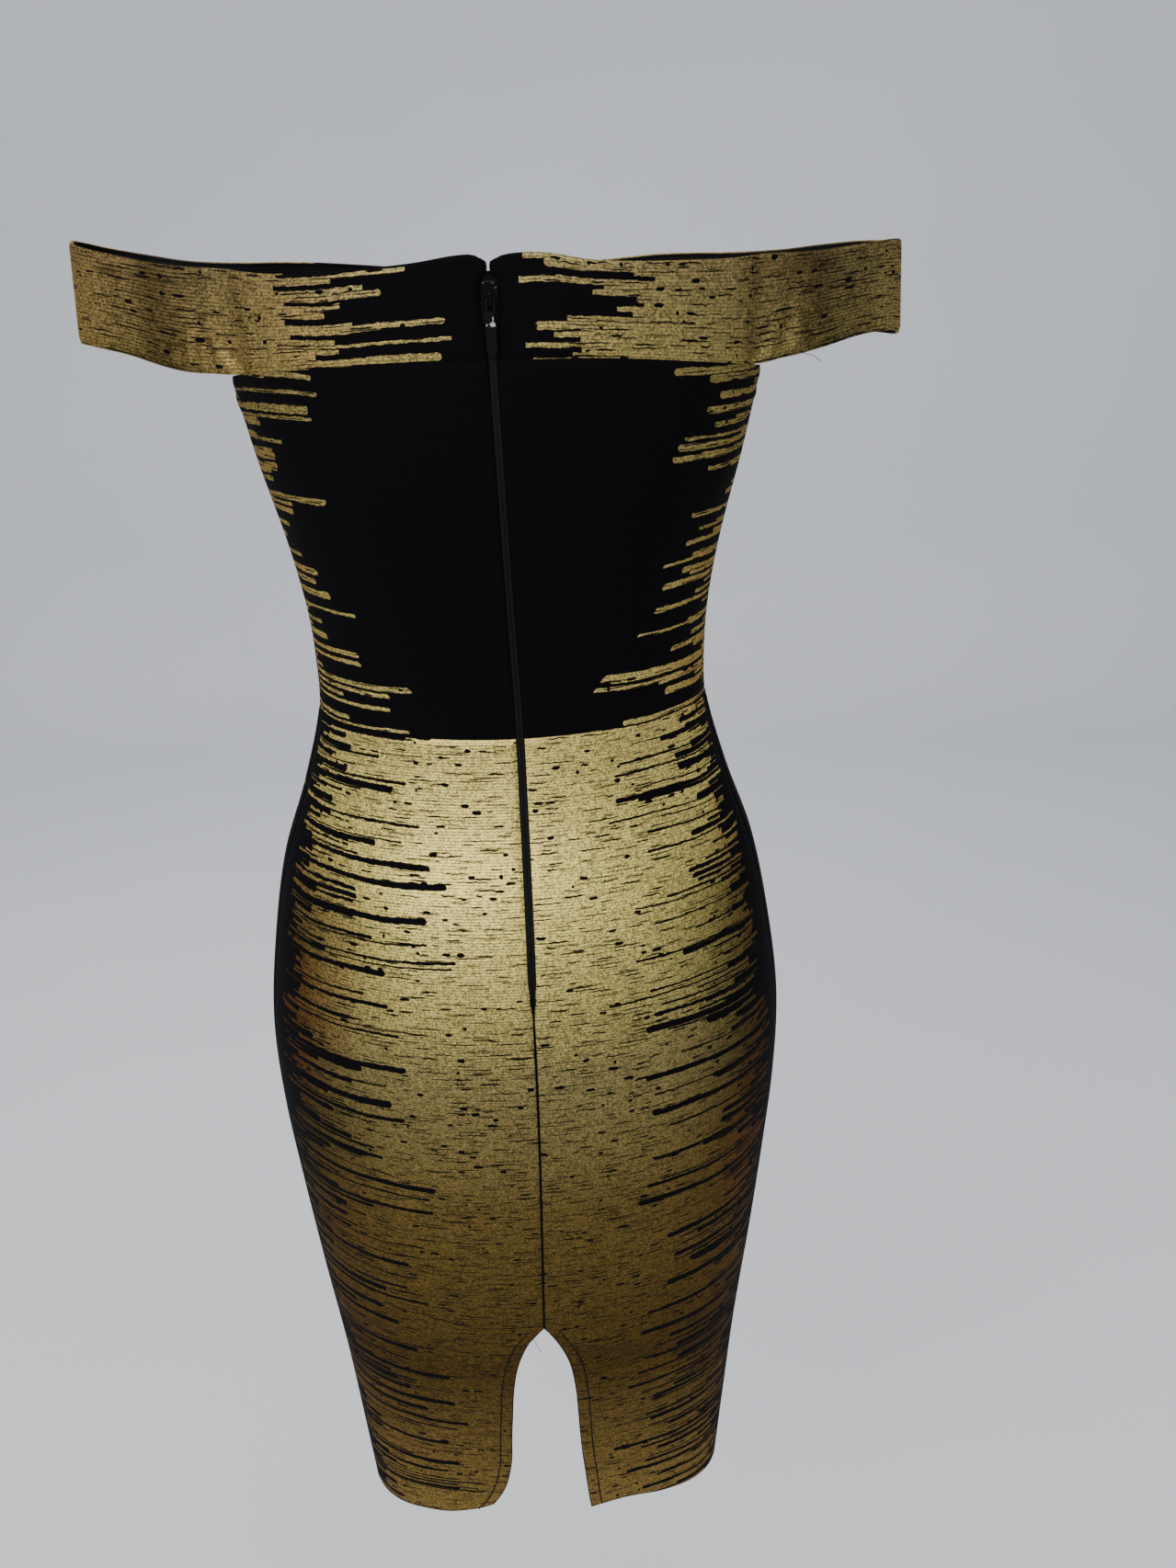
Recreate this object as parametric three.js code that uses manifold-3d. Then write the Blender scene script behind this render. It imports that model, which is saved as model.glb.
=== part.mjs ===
// Bodycon dress: an off-the-shoulder band, a fitted bodice and a knee-length skirt with a back zip and a vent.
// Millimetres, +Z up, the front faces -Y and the wearer's left is +X.
// Heights are measured from the middle of the band at the centre back, where the dress is held.
import * as THREE from 'three';
import { mergeVertices } from 'three/addons/utils/BufferGeometryUtils.js';
import Module from 'manifold-3d';

const wasm = await Module();
wasm.setup();

const WALL = 2; // doubled rib knit with its turned edges
const SEAM = 0.3; // space between two sewn pieces
const BAND_TOP = 25.5; // at the centre back
const VENT_APEX = -605;
const SIDE_SEAM_LEFT = 0.45; // share of the half girth, 0 at the centre back and 1 at the centre front
const SIDE_SEAM_RIGHT = 0.43;

// Each table has one row for a section, listed from top to bottom or from back to front.
const table = (columns, rows) =>
  rows.map((row) => Object.fromEntries(columns.map((column, i) => [column, row[i]])));

// The rings of the worn dress. Squareness 2 is an ellipse. The back line is where the centre-back seam
// runs, which sits a little to the left at the top.
const SECTIONS = table(['height', 'halfWidth', 'back', 'front', 'squareness', 'backLine'], [
  [60, 148, 112, 96, 2.3, 6.5],
  [0, 147, 112, 103, 2.3, 6.5],
  [-32, 142, 111, 108, 2.3, 6.2],
  [-75, 133, 107, 109, 2.25, 5],
  [-120, 122, 98, 103, 2.2, 3.6],
  [-160, 115, 90, 96, 2.15, 2.2],
  [-190, 113, 86, 90, 2.1, 1],
  [-218, 114, 84, 88, 2.1, 0.3],
  [-265, 127, 93, 91, 2.1, 0.2],
  [-310, 143, 109, 95, 2.15, 0.5],
  [-365, 154, 123, 98, 2.2, 1],
  [-416, 160, 130, 100, 2.2, 1],
  [-470, 159, 127, 99, 2.2, 1.2],
  [-530, 154, 116, 95, 2.2, 1.6],
  [-600, 147, 102, 92, 2.2, 2],
  [-680, 138, 84, 90, 2.2, 2],
  [-760, 131, 66, 88, 2.25, 2],
  [-830, 125, 55, 86, 2.3, 2],
]);

// The band's seam on the torso, which is also the bodice's top edge and runs on under the arm.
const TORSO_SEAM = table(['share', 'left', 'right'], [
  [0, -20.5, -20.5],
  [0.12, -21.5, -21.5],
  [0.26, -24.5, -26.5],
  [0.37, -28, -31],
  [0.5, -33, -35],
  [0.63, -32, -33],
  [0.75, -29, -29],
  [1, -27, -27],
]);
const BAND_TOP_EDGE = table(['share', 'left', 'right'], [
  [0, 25.5, 25.5],
  [0.04, 26, 26.5],
  [0.07, 24.5, 24],
  [0.13, 21.5, 21.5],
  [0.28, 19.5, 21],
  [0.37, 22, 22.5],
  [0.63, 24, 23],
  [0.75, 23, 23],
  [0.88, 19, 19],
  [1, 16, 16],
]);
const BAND_BACK_SHARES = [0, 0.02, 0.05, 0.1, 0.16, 0.22, 0.28, 0.33, 0.37];
const BAND_FRONT_SHARES = [0.64, 0.69, 0.75, 0.81, 0.87, 0.93, 0.98, 1];

// The loop round each arm: the angle is 0 outward and grows towards the back.
const ARM = { left: 173, right: 175, y: 3, radius: 43, flare: 2 };
const ARM_STATIONS = table(['angle', 'topLeft', 'topRight', 'seamLeft', 'seamRight'], [
  [105, 24.5, 23.5, -25.5, -25],
  [75, 29, 26, -17.5, -18.5],
  [45, 33, 28, -13.5, -17],
  [20, 35.5, 28, -12.5, -19],
  [0, 37, 27.5, -12.5, -21],
  [-20, 36, 27.5, -13, -21],
  [-45, 33, 27.5, -15, -21],
  [-75, 29, 26, -21, -22.5],
  [-105, 25.5, 24, -28, -28],
]);

// The zip: half the open groove between the panel edges, and the tape's folded edge inside it.
const ZIP_END = -365;
const GROOVE = table(['height', 'half'], [
  [25.5, 3],
  [23.5, 1.2],
  [21.5, 0.7],
  [19, 0.6],
  [17, 1.5],
  [14, 4.2],
  [10, 4.6],
  [2, 4.6],
  [-6, 3.6],
  [-14, 2.7],
  [-24, 2.35],
  [-100, 2.3],
  [-335, 2.3],
  [-348, 2.2],
  [-358, 1.2],
  [ZIP_END, SEAM / 2],
  [-378, SEAM / 2],
  [-400, SEAM / 2],
]);
const TAPE_EDGE = table(['height', 'half', 'depth'], [
  [21, 1.6, 2.4],
  [17, 1.9, 2.4],
  [14, 2.6, 2.4],
  [9, 1.6, 2.4],
  [4, SEAM / 2, 1],
  [-2, SEAM / 2, 1],
  [-9, SEAM / 2, 1],
  [-320, SEAM / 2, 1],
  [-328, SEAM / 2, 1],
  [-348, SEAM / 2, 2.4],
  [-372, SEAM / 2, 2.4],
]);
const TAPE = { end: -372, width: 9, thickness: 0.7, fold: 1.7, clearance: 0.6 };
const TAPE_TOP_HEIGHTS = [20, 17, 15, 13, 11, 9, 6.5, 4, -9];

// The vent: each edge's distance from the centre-back line, by the drop below the apex.
const VENT_EDGE = table(['drop', 'left', 'right'], [
  [0, SEAM / 2, SEAM / 2],
  [5, 4, 3.5],
  [16, 11, 8.5],
  [38, 17.5, 15.6],
  [64, 21, 19.2],
  [91, 22.6, 20.8],
  [117, 24, 22],
  [143, 25, 23.6],
  [164, 28, 25.5],
  [180, 32.4, 26.8],
  [193, 39, 28],
  [205, 50, 29.5],
]);
const HEM = table(['share', 'left', 'right'], [
  [0, -799, -810],
  [0.04, -804, -808],
  [0.1, -808.5, -806.5],
  [0.2, -810, -811],
  [0.3, -811, -815],
  [0.45, -812, -818],
  [0.56, -811, -816],
  [0.75, -796, -799],
  [0.9, -780, -781],
  [1, -777, -777],
]);
const WAIST = table(['share', 'height'], [
  [0, -218],
  [0.45, -217],
  [1, -218],
]);

// The slider and its pull, at the centre back.
const SLIDER = { middle: 8, height: 12.4, halfWidth: 4, halfFoot: 3, depth: 2.3, back: 0.7 };
const BRIDGE = { width: 1.6, hinge: 6.2, gapHalf: 1.8, leg: 1.4, gap: 1.7, bar: 1 };
const PULL = {
  thickness: 1,
  top: 0.6,
  tip: -18.6,
  armHalf: 2.3,
  windowHalf: 1.3,
  window: 5,
  waist: 1.7,
  gripHalf: 2.5,
};

// The skirt's grid lines above the vent, as drops below the waist seam. They close up at the zip's end.
const SKIRT_DROPS = [0, 28, 56, 84, 110, 130, 140, 147, 160, 190, 225, 260, 295, 330, 365, 399];

// The back band's grid lines, as shares of its height from the top. They close up round the zip's neck.
const BAND_BACK_LINES = [0, 0.07, 0.14, 0.2, 0.27, 0.5, 0.72, 1];

// Grid lines of each panel.
const GRID = {
  front: 20,
  back: 11,
  bodiceRows: 12,
  ventRows: 11,
  bandBack: 24,
  bandFront: 44,
  bandFrontRows: 4,
  ring: 160,
};

const COLORS = { knit: 0x1b1a1f, foil: 0xb59a63, tape: 0x121215, metal: 0x3c3c40, pull: 0x77777a };

/** Reads a column of a table at a place, on a smooth curve through its rows. */
function along(rows, key, column, place) {
  const last = rows.length - 1;
  const start = rows.findIndex((row, i) => i < last && (place - row[key]) * (rows[i + 1][key] - place) >= 0);
  if (start < 0) {
    const nearLast = Math.abs(place - rows[last][key]) < Math.abs(place - rows[0][key]);
    return rows[nearLast ? last : 0][column];
  }
  const slope = (i) => {
    const before = rows[Math.max(i - 1, 0)];
    const after = rows[Math.min(i + 1, last)];
    return (after[column] - before[column]) / (after[key] - before[key]);
  };
  const from = rows[start];
  const to = rows[start + 1];
  const span = to[key] - from[key];
  const t = (place - from[key]) / span;
  const rise = 3 * t ** 2 - 2 * t ** 3;
  const lead = (t ** 3 - 2 * t ** 2 + t) * span * slope(start);
  const tail = (t ** 3 - t ** 2) * span * slope(start + 1);
  return from[column] + (to[column] - from[column]) * rise + lead + tail;
}

const power = (value, exponent) => Math.sign(value) * Math.abs(value) ** exponent;
const rings = new Map();

/** Half a ring at a height, from the centre back to the centre front, with the length along it. */
function ring(height) {
  if (!rings.has(height)) {
    const size = (column) => along(SECTIONS, 'height', column, height);
    const exponent = 2 / size('squareness');
    const points = [];
    const lengths = [0];
    for (let i = 0; i <= GRID.ring; i++) {
      const angle = (Math.PI * i) / GRID.ring;
      const depth = Math.cos(angle) > 0 ? size('back') : size('front');
      const x = size('halfWidth') * power(Math.sin(angle), exponent);
      points.push(new THREE.Vector2(x, depth * power(Math.cos(angle), exponent)));
      if (i > 0) lengths.push(lengths[i - 1] + points[i].distanceTo(points[i - 1]));
    }
    rings.set(height, { points, lengths, backLine: size('backLine'), half: lengths[GRID.ring] });
  }
  return rings.get(height);
}

/** A point of the body's surface, by its length from the middle of the back, positive to the left. */
function bodyPoint(height, length, inset = 0) {
  const { points, lengths, half } = ring(height);
  const side = length < 0 ? -1 : 1;
  const reach = THREE.MathUtils.clamp(Math.abs(length), 0, half);
  const next = Math.max(1, lengths.findIndex((value) => value >= reach - 1e-9));
  const [a, b] = [points[next - 1], points[next]];
  const t = (reach - lengths[next - 1]) / (lengths[next] - lengths[next - 1]);
  const at = a.clone().lerp(b, t);
  // The outward direction turns evenly along a facet, from one corner of the ring to the next.
  const facing = (i) => {
    const before = i > 0 ? points[i - 1] : new THREE.Vector2(-points[1].x, points[1].y);
    const after = i < GRID.ring ? points[i + 1] : new THREE.Vector2(-points[i - 1].x, points[i - 1].y);
    const run = after.clone().sub(before);
    return new THREE.Vector2(-run.y, run.x).normalize();
  };
  const out = facing(next - 1).lerp(facing(next), t).normalize();
  at.addScaledVector(out, -inset);
  return new THREE.Vector3(side * at.x, at.y, height);
}

/** A closed solid from its outside triangles, turned so that its faces point out. */
function solid(points, triangles) {
  const corner = (i) => points[i];
  const volume = triangles.reduce(
    (sum, [a, b, c]) => sum + corner(a).dot(corner(b).clone().cross(corner(c))),
    0,
  );
  const turned = volume < 0 ? triangles.map(([a, b, c]) => [a, c, b]) : triangles;
  const geometry = new THREE.BufferGeometry();
  geometry.setAttribute('position', new THREE.Float32BufferAttribute(points.flatMap((p) => p.toArray()), 3));
  geometry.setIndex(turned.flat());
  return geometry;
}

/** A wall of cloth: place(u, v, inset) gives a point, u runs across from 0 to 1 and v runs down. */
function panel(columns, rows, place, wall = WALL) {
  const points = [];
  for (const inset of [0, wall]) {
    for (let r = 0; r <= rows; r++) {
      for (let c = 0; c <= columns; c++) points.push(place(c / columns, r / rows, inset));
    }
  }
  const width = columns + 1;
  const inner = width * (rows + 1);
  const at = (r, c) => r * width + c;
  const triangles = [];
  const quad = (a, b, c, d) => triangles.push([a, b, c], [a, c, d]);
  for (let r = 0; r < rows; r++) {
    for (let c = 0; c < columns; c++) {
      const [a, b, d, e] = [at(r, c), at(r, c + 1), at(r + 1, c + 1), at(r + 1, c)];
      quad(a, e, d, b);
      quad(inner + a, inner + b, inner + d, inner + e);
    }
  }
  const edge = (a, b) => quad(a, b, inner + b, inner + a);
  for (let c = 0; c < columns; c++) {
    edge(at(0, c), at(0, c + 1));
    edge(at(rows, c + 1), at(rows, c));
  }
  for (let r = 0; r < rows; r++) {
    edge(at(r + 1, 0), at(r, 0));
    edge(at(r, columns), at(r + 1, columns));
  }
  return solid(points, triangles);
}

/** A closed solid through sections with the same corners, each section all in sight of its last corner. */
function loft(sections) {
  const count = sections[0].length;
  const triangles = [];
  for (let s = 0; s < sections.length - 1; s++) {
    for (let i = 0; i < count; i++) {
      const [a, b] = [s * count + i, s * count + ((i + 1) % count)];
      triangles.push([a, b, b + count], [a, b + count, a + count]);
    }
  }
  const end = (sections.length - 1) * count;
  for (let i = 0; i < count - 2; i++) {
    triangles.push([count - 1, i + 1, i], [end + count - 1, end + i, end + i + 1]);
  }
  return solid(sections.flat(), triangles);
}

/** Joins closed geometries into one solid. */
function join(geometries) {
  const solids = geometries.map((geometry) => {
    const bare = geometry.clone();
    bare.deleteAttribute('normal');
    bare.deleteAttribute('uv');
    const merged = mergeVertices(bare, 1e-4);
    const mesh = new wasm.Mesh({
      numProp: 3,
      vertProperties: new Float32Array(merged.attributes.position.array),
      triVerts: new Uint32Array(merged.index.array),
    });
    return new wasm.Manifold(mesh);
  });
  const { vertProperties, triVerts } = solids.reduce((whole, next) => whole.add(next)).getMesh();
  const geometry = new THREE.BufferGeometry();
  geometry.setAttribute('position', new THREE.Float32BufferAttribute(vertProperties, 3));
  geometry.setIndex(Array.from(triVerts));
  return geometry;
}

const mix = THREE.MathUtils.lerp;
const groove = (height) => along(GROOVE, 'height', 'half', height);
const waist = (share) => along(WAIST, 'share', 'height', share);
const column = (side) => (side > 0 ? 'left' : 'right');
const torsoSeam = (share, side) => along(TORSO_SEAM, 'share', column(side), share);
const sideSeam = (side) => (side > 0 ? SIDE_SEAM_LEFT : SIDE_SEAM_RIGHT);

/** The distance of a back panel's inner edge from the centre-back line. */
function backEdge(height, side) {
  const drop = VENT_APEX - height;
  return drop > 0 ? along(VENT_EDGE, 'drop', column(side), drop) : groove(height);
}

/** A point of a back panel, from the centre back at u = 0 to the side seam at u = 1. */
function backPoint(height, side, u, inset) {
  const { half, backLine } = ring(height);
  const near = backLine + side * backEdge(height, side);
  const far = side * (sideSeam(side) * half - SEAM / 2);
  return bodyPoint(height, mix(near, far, u), inset);
}

/** A point of a front panel, from the left side seam at u = 0 to the right one at u = 1. */
function frontPoint(height, u, inset) {
  const half = ring(height).half;
  const left = sideSeam(1) * half + SEAM / 2;
  const right = sideSeam(-1) * half + SEAM / 2;
  if (u < 0.5) return bodyPoint(height, mix(left, half, u * 2), inset);
  return bodyPoint(height, -mix(half, right, u * 2 - 1), inset);
}

const backShare = (side, u) => sideSeam(side) * u;
const frontShare = (u) => (u < 0.5 ? mix(sideSeam(1), 1, u * 2) : mix(1, sideSeam(-1), u * 2 - 1));

const frontSide = (u) => (u < 0.5 ? 1 : -1);

const bodiceHeight = (share, side, v) => mix(torsoSeam(share, side) - SEAM / 2, waist(share) + SEAM / 2, v);
const bodiceBack = (side) =>
  panel(GRID.back, GRID.bodiceRows, (u, v, inset) =>
    backPoint(bodiceHeight(backShare(side, u), side, v), side, u, inset),
  );
const bodiceFront = () =>
  panel(GRID.front, GRID.bodiceRows, (u, v, inset) =>
    frontPoint(bodiceHeight(frontShare(u), frontSide(u), v), u, inset),
  );

const upperRows = SKIRT_DROPS.length - 1;
const skirtRows = upperRows + GRID.ventRows;

/** The height of a skirt grid line: the listed drops to the vent's apex, then rows that open out below it. */
function skirtHeight(share, hem, v) {
  const row = Math.round(v * skirtRows);
  const top = waist(share) - SEAM / 2;
  if (row <= upperRows) return mix(top, VENT_APEX, SKIRT_DROPS[row] / SKIRT_DROPS[upperRows]);
  return mix(VENT_APEX, hem, ((row - upperRows) / GRID.ventRows) ** 1.6);
}
const hemAt = (share, side) => along(HEM, 'share', column(side), share);
const skirtBack = (side) =>
  panel(GRID.back, skirtRows, (u, v, inset) => {
    const share = backShare(side, u);
    return backPoint(skirtHeight(share, hemAt(share, side), v), side, u, inset);
  });
const skirtFront = () =>
  panel(GRID.front, skirtRows, (u, v, inset) => {
    const share = frontShare(u);
    return frontPoint(skirtHeight(share, hemAt(share, frontSide(u)), v), u, inset);
  });

/** Half of a band edge, from the middle of the back round the arm to the middle of the front. */
function bandEdge(side, atTop) {
  const torso = (shares) => shares.map((share) => {
    const top = along(BAND_TOP_EDGE, 'share', column(side), share);
    const height = atTop ? top : torsoSeam(share, side) + SEAM / 2;
    return bodyPoint(height, share * ring(height).half);
  });
  const edge = `${atTop ? 'top' : 'seam'}${side > 0 ? 'Left' : 'Right'}`;
  const radius = ARM.radius + (atTop ? 0 : ARM.flare);
  const arm = ARM_STATIONS.map((station) => {
    const angle = THREE.MathUtils.degToRad(station.angle);
    const x = ARM[column(side)] + radius * Math.cos(angle);
    return new THREE.Vector3(x, ARM.y + radius * Math.sin(angle), station[edge]);
  });
  const stations = [...torso(BAND_BACK_SHARES), ...arm, ...torso(BAND_FRONT_SHARES)];
  const curve = new THREE.CatmullRomCurve3(stations, false, 'centripetal');
  curve.arcLengthDivisions = GRID.ring * 2;
  const middle = BAND_BACK_SHARES.length + ARM_STATIONS.findIndex(({ angle }) => angle === 0);
  const outer = curve.getLengths()[Math.round((middle / (stations.length - 1)) * curve.arcLengthDivisions)];
  return { curve, outer, whole: curve.getLength() };
}

const BAND_EDGES = {
  left: [bandEdge(1, true), bandEdge(1, false)],
  right: [bandEdge(-1, true), bandEdge(-1, false)],
};

/** A point of the band: span gives the lengths that the piece runs between on an edge of its side. */
function bandPoint(side, span, u, v, inset) {
  const spot = (shift) => {
    const [top, seam] = [0, 1].map((row) => {
      const own = BAND_EDGES[column(side)][row];
      const [start, end] = span(own);
      const length = mix(start, end, u) + shift;
      // A length below zero runs on over the middle of the back to the other side.
      const edge = length < 0 ? BAND_EDGES[column(-side)][row] : own;
      const at = edge.curve.getPointAt(Math.min(Math.abs(length) / edge.whole, 1));
      return at.setX(Math.sign(length || 1) * at.x);
    });
    return top.lerp(seam, v);
  };
  const at = spot(0);
  const run = spot(0.5).sub(spot(-0.5));
  const out = new THREE.Vector2(-run.y, run.x).normalize();
  return new THREE.Vector3(side * (at.x - out.x * inset), at.y - out.y * inset, at.z);
}

const bandBack = (side) =>
  panel(GRID.bandBack, BAND_BACK_LINES.length - 1, (u, v, inset) => {
    const line = BAND_BACK_LINES[Math.round(v * (BAND_BACK_LINES.length - 1))];
    const height = mix(BAND_TOP, torsoSeam(0, side), line);
    const near = groove(height) + side * ring(height).backLine;
    return bandPoint(side, ({ outer }) => [near, outer - SEAM / 2], u, line, inset);
  });
const bandFront = () =>
  panel(GRID.bandFront, GRID.bandFrontRows, (u, v, inset) => {
    const span = ({ outer, whole }) => [outer + SEAM / 2, whole];
    return bandPoint(frontSide(u), span, 1 - Math.abs(1 - 2 * u), v, inset);
  });

/** One zip tape, with its folded edge standing in the groove. It shares the panels' grid lines. */
function zipTape(side) {
  const front = WALL + TAPE.clearance;
  const back = front + TAPE.thickness;
  const bodiceLines = Array.from({ length: GRID.bodiceRows + 1 }, (_, i) =>
    bodiceHeight(0, side, i / GRID.bodiceRows),
  );
  const skirtLines = SKIRT_DROPS.map((_, i) => skirtHeight(0, VENT_APEX, i / skirtRows));
  const lines = [...bodiceLines, ...skirtLines.filter((height) => height > TAPE.end + 1)];
  const sections = [...TAPE_TOP_HEIGHTS, ...lines, TAPE.end].map((height) => {
    const edge = along(TAPE_EDGE, 'height', 'half', height);
    const depth = along(TAPE_EDGE, 'height', 'depth', height);
    const corners = [
      [edge, depth],
      [edge + TAPE.fold, depth],
      [edge + TAPE.fold, front],
      [edge + TAPE.width, front],
      [edge + TAPE.width, back],
      [edge, back],
    ];
    const { backLine } = ring(height);
    return corners.map(([across, inset]) => bodyPoint(height, backLine + side * across, inset));
  });
  return loft(sections);
}

const zipLine = bodyPoint(SLIDER.middle, ring(SLIDER.middle).backLine);
const frontFace = zipLine.y - SLIDER.back + SLIDER.depth;
const hinge = new THREE.Vector3(zipLine.x, frontFace + BRIDGE.gap / 2, BRIDGE.hinge);

/** The slider's body and its bridge, which the pull hangs from. */
function zipSlider() {
  const outline = new THREE.Shape();
  const half = SLIDER.height / 2;
  outline.moveTo(-SLIDER.halfFoot, -half + 1);
  outline.quadraticCurveTo(-SLIDER.halfFoot + 0.5, -half, -SLIDER.halfFoot + 1.5, -half);
  outline.lineTo(SLIDER.halfFoot - 1.5, -half);
  outline.quadraticCurveTo(SLIDER.halfFoot - 0.5, -half, SLIDER.halfFoot, -half + 1);
  outline.lineTo(SLIDER.halfWidth, half - 3);
  outline.quadraticCurveTo(SLIDER.halfWidth, half, SLIDER.halfWidth - 3, half);
  outline.lineTo(-SLIDER.halfWidth + 3, half);
  outline.quadraticCurveTo(-SLIDER.halfWidth, half, -SLIDER.halfWidth, half - 3);
  const body = new THREE.ExtrudeGeometry(outline, { depth: SLIDER.depth, bevelEnabled: false, curveSegments: 4 });
  body.rotateX(Math.PI / 2).translate(zipLine.x, frontFace, SLIDER.middle);

  const reach = BRIDGE.gapHalf + BRIDGE.leg;
  const foot = -0.4;
  const rise = BRIDGE.gap + BRIDGE.bar;
  const arch = new THREE.Shape();
  arch.moveTo(-reach, foot);
  arch.lineTo(-reach, rise - 0.8);
  arch.lineTo(-reach + 0.8, rise);
  arch.lineTo(reach - 0.8, rise);
  arch.lineTo(reach, rise - 0.8);
  arch.lineTo(reach, foot);
  arch.lineTo(BRIDGE.gapHalf, foot);
  arch.lineTo(BRIDGE.gapHalf, BRIDGE.gap);
  arch.lineTo(-BRIDGE.gapHalf, BRIDGE.gap);
  arch.lineTo(-BRIDGE.gapHalf, foot);
  const bridge = new THREE.ExtrudeGeometry(arch, { depth: BRIDGE.width, bevelEnabled: false });
  // The arch is drawn along Z with its rise along +Y, and its width is along X.
  bridge.applyMatrix4(new THREE.Matrix4().makeBasis(
    new THREE.Vector3(0, 0, 1),
    new THREE.Vector3(0, 1, 0),
    new THREE.Vector3(-1, 0, 0),
  ));
  bridge.translate(zipLine.x + BRIDGE.width / 2, frontFace, BRIDGE.hinge);
  return join([body, bridge]);
}

/** The pull: a flat tab whose top bar passes under the bridge. */
function zipPull() {
  const { armHalf, waist: narrow, gripHalf, window, windowHalf, top, tip } = PULL;
  const low = tip - BRIDGE.hinge;
  const shoulder = window + 0.8;
  const tab = new THREE.Shape();
  tab.moveTo(-armHalf, top - 0.4);
  tab.lineTo(-armHalf + 0.4, top);
  tab.lineTo(armHalf - 0.4, top);
  tab.lineTo(armHalf, top - 0.4);
  tab.lineTo(armHalf, -shoulder);
  tab.quadraticCurveTo(narrow, -shoulder - 1.5, narrow, -shoulder - 3);
  tab.quadraticCurveTo(gripHalf, -shoulder - 6, gripHalf, low + gripHalf);
  tab.absarc(0, low + gripHalf, gripHalf, 0, -Math.PI, true);
  tab.quadraticCurveTo(-gripHalf, -shoulder - 6, -narrow, -shoulder - 3);
  tab.quadraticCurveTo(-narrow, -shoulder - 1.5, -armHalf, -shoulder);
  const hole = new THREE.Path();
  hole.moveTo(-windowHalf, -top);
  hole.lineTo(-windowHalf, -window);
  hole.lineTo(windowHalf, -window);
  hole.lineTo(windowHalf, -top);
  tab.holes.push(hole);
  const geometry = new THREE.ExtrudeGeometry(tab, { depth: PULL.thickness, bevelEnabled: false, curveSegments: 6 });
  return geometry.rotateX(Math.PI / 2).translate(hinge.x, hinge.y + PULL.thickness / 2, hinge.z);
}

const dress = new THREE.Group();
const add = (name, geometry, color, roughness, metalness) => {
  const mesh = new THREE.Mesh(geometry, new THREE.MeshStandardMaterial({ color, roughness, metalness }));
  mesh.name = name;
  dress.add(mesh);
};

add('band_front', bandFront(), COLORS.knit, 0.75, 0);
add('band_back_left', bandBack(1), COLORS.knit, 0.75, 0);
add('band_back_right', bandBack(-1), COLORS.knit, 0.75, 0);
add('bodice_front', bodiceFront(), COLORS.knit, 0.75, 0);
add('bodice_back_left', bodiceBack(1), COLORS.knit, 0.75, 0);
add('bodice_back_right', bodiceBack(-1), COLORS.knit, 0.75, 0);
add('skirt_front', skirtFront(), COLORS.foil, 0.45, 0.6);
add('skirt_back_left', skirtBack(1), COLORS.foil, 0.45, 0.6);
add('skirt_back_right', skirtBack(-1), COLORS.foil, 0.45, 0.6);
add('zip_tape_left', zipTape(1), COLORS.tape, 0.9, 0);
add('zip_tape_right', zipTape(-1), COLORS.tape, 0.9, 0);
add('zip_slider', zipSlider(), COLORS.metal, 0.4, 0.8);
add('zip_pull', zipPull(), COLORS.pull, 0.4, 0.7);

export default dress;
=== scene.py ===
"""Looks of an off-the-shoulder bodycon dress in a rib knit with a foil print, built round its fixed frame."""

import logging
import math
from dataclasses import dataclass, field
from enum import Enum
from typing import Callable, Sequence

import bmesh
import bpy
import numpy as np
from mathutils import Matrix, Vector


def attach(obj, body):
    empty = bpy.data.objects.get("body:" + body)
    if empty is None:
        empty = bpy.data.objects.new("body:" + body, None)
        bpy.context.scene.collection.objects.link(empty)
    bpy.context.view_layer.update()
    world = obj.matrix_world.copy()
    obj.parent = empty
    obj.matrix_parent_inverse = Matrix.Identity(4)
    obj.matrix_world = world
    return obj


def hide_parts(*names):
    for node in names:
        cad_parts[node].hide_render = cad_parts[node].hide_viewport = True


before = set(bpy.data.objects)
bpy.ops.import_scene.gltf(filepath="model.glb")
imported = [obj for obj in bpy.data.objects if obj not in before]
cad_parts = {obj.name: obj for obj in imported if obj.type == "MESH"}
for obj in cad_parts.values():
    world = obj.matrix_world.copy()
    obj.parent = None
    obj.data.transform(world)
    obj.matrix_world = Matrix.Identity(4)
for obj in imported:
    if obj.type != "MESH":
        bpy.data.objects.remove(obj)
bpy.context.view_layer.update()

LOG = logging.getLogger("dress")
MM = 0.001

# Driving dimensions of the dress, in millimetres, in the frame of its solids.
SHELL = 1.6  # the knit's thickness where it isn't doubled
BAND_TOP = 25.5
VENT_APEX = -605.0
ZIP_END = -365.0
SIDE_SEAM = {1: 0.45, -1: 0.43}  # share of the half girth, 0 at the centre back and 1 at the centre front
GRID_STEP = 3.2
MARGIN = 10  # how far the worn form runs on past its first and last sections

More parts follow.
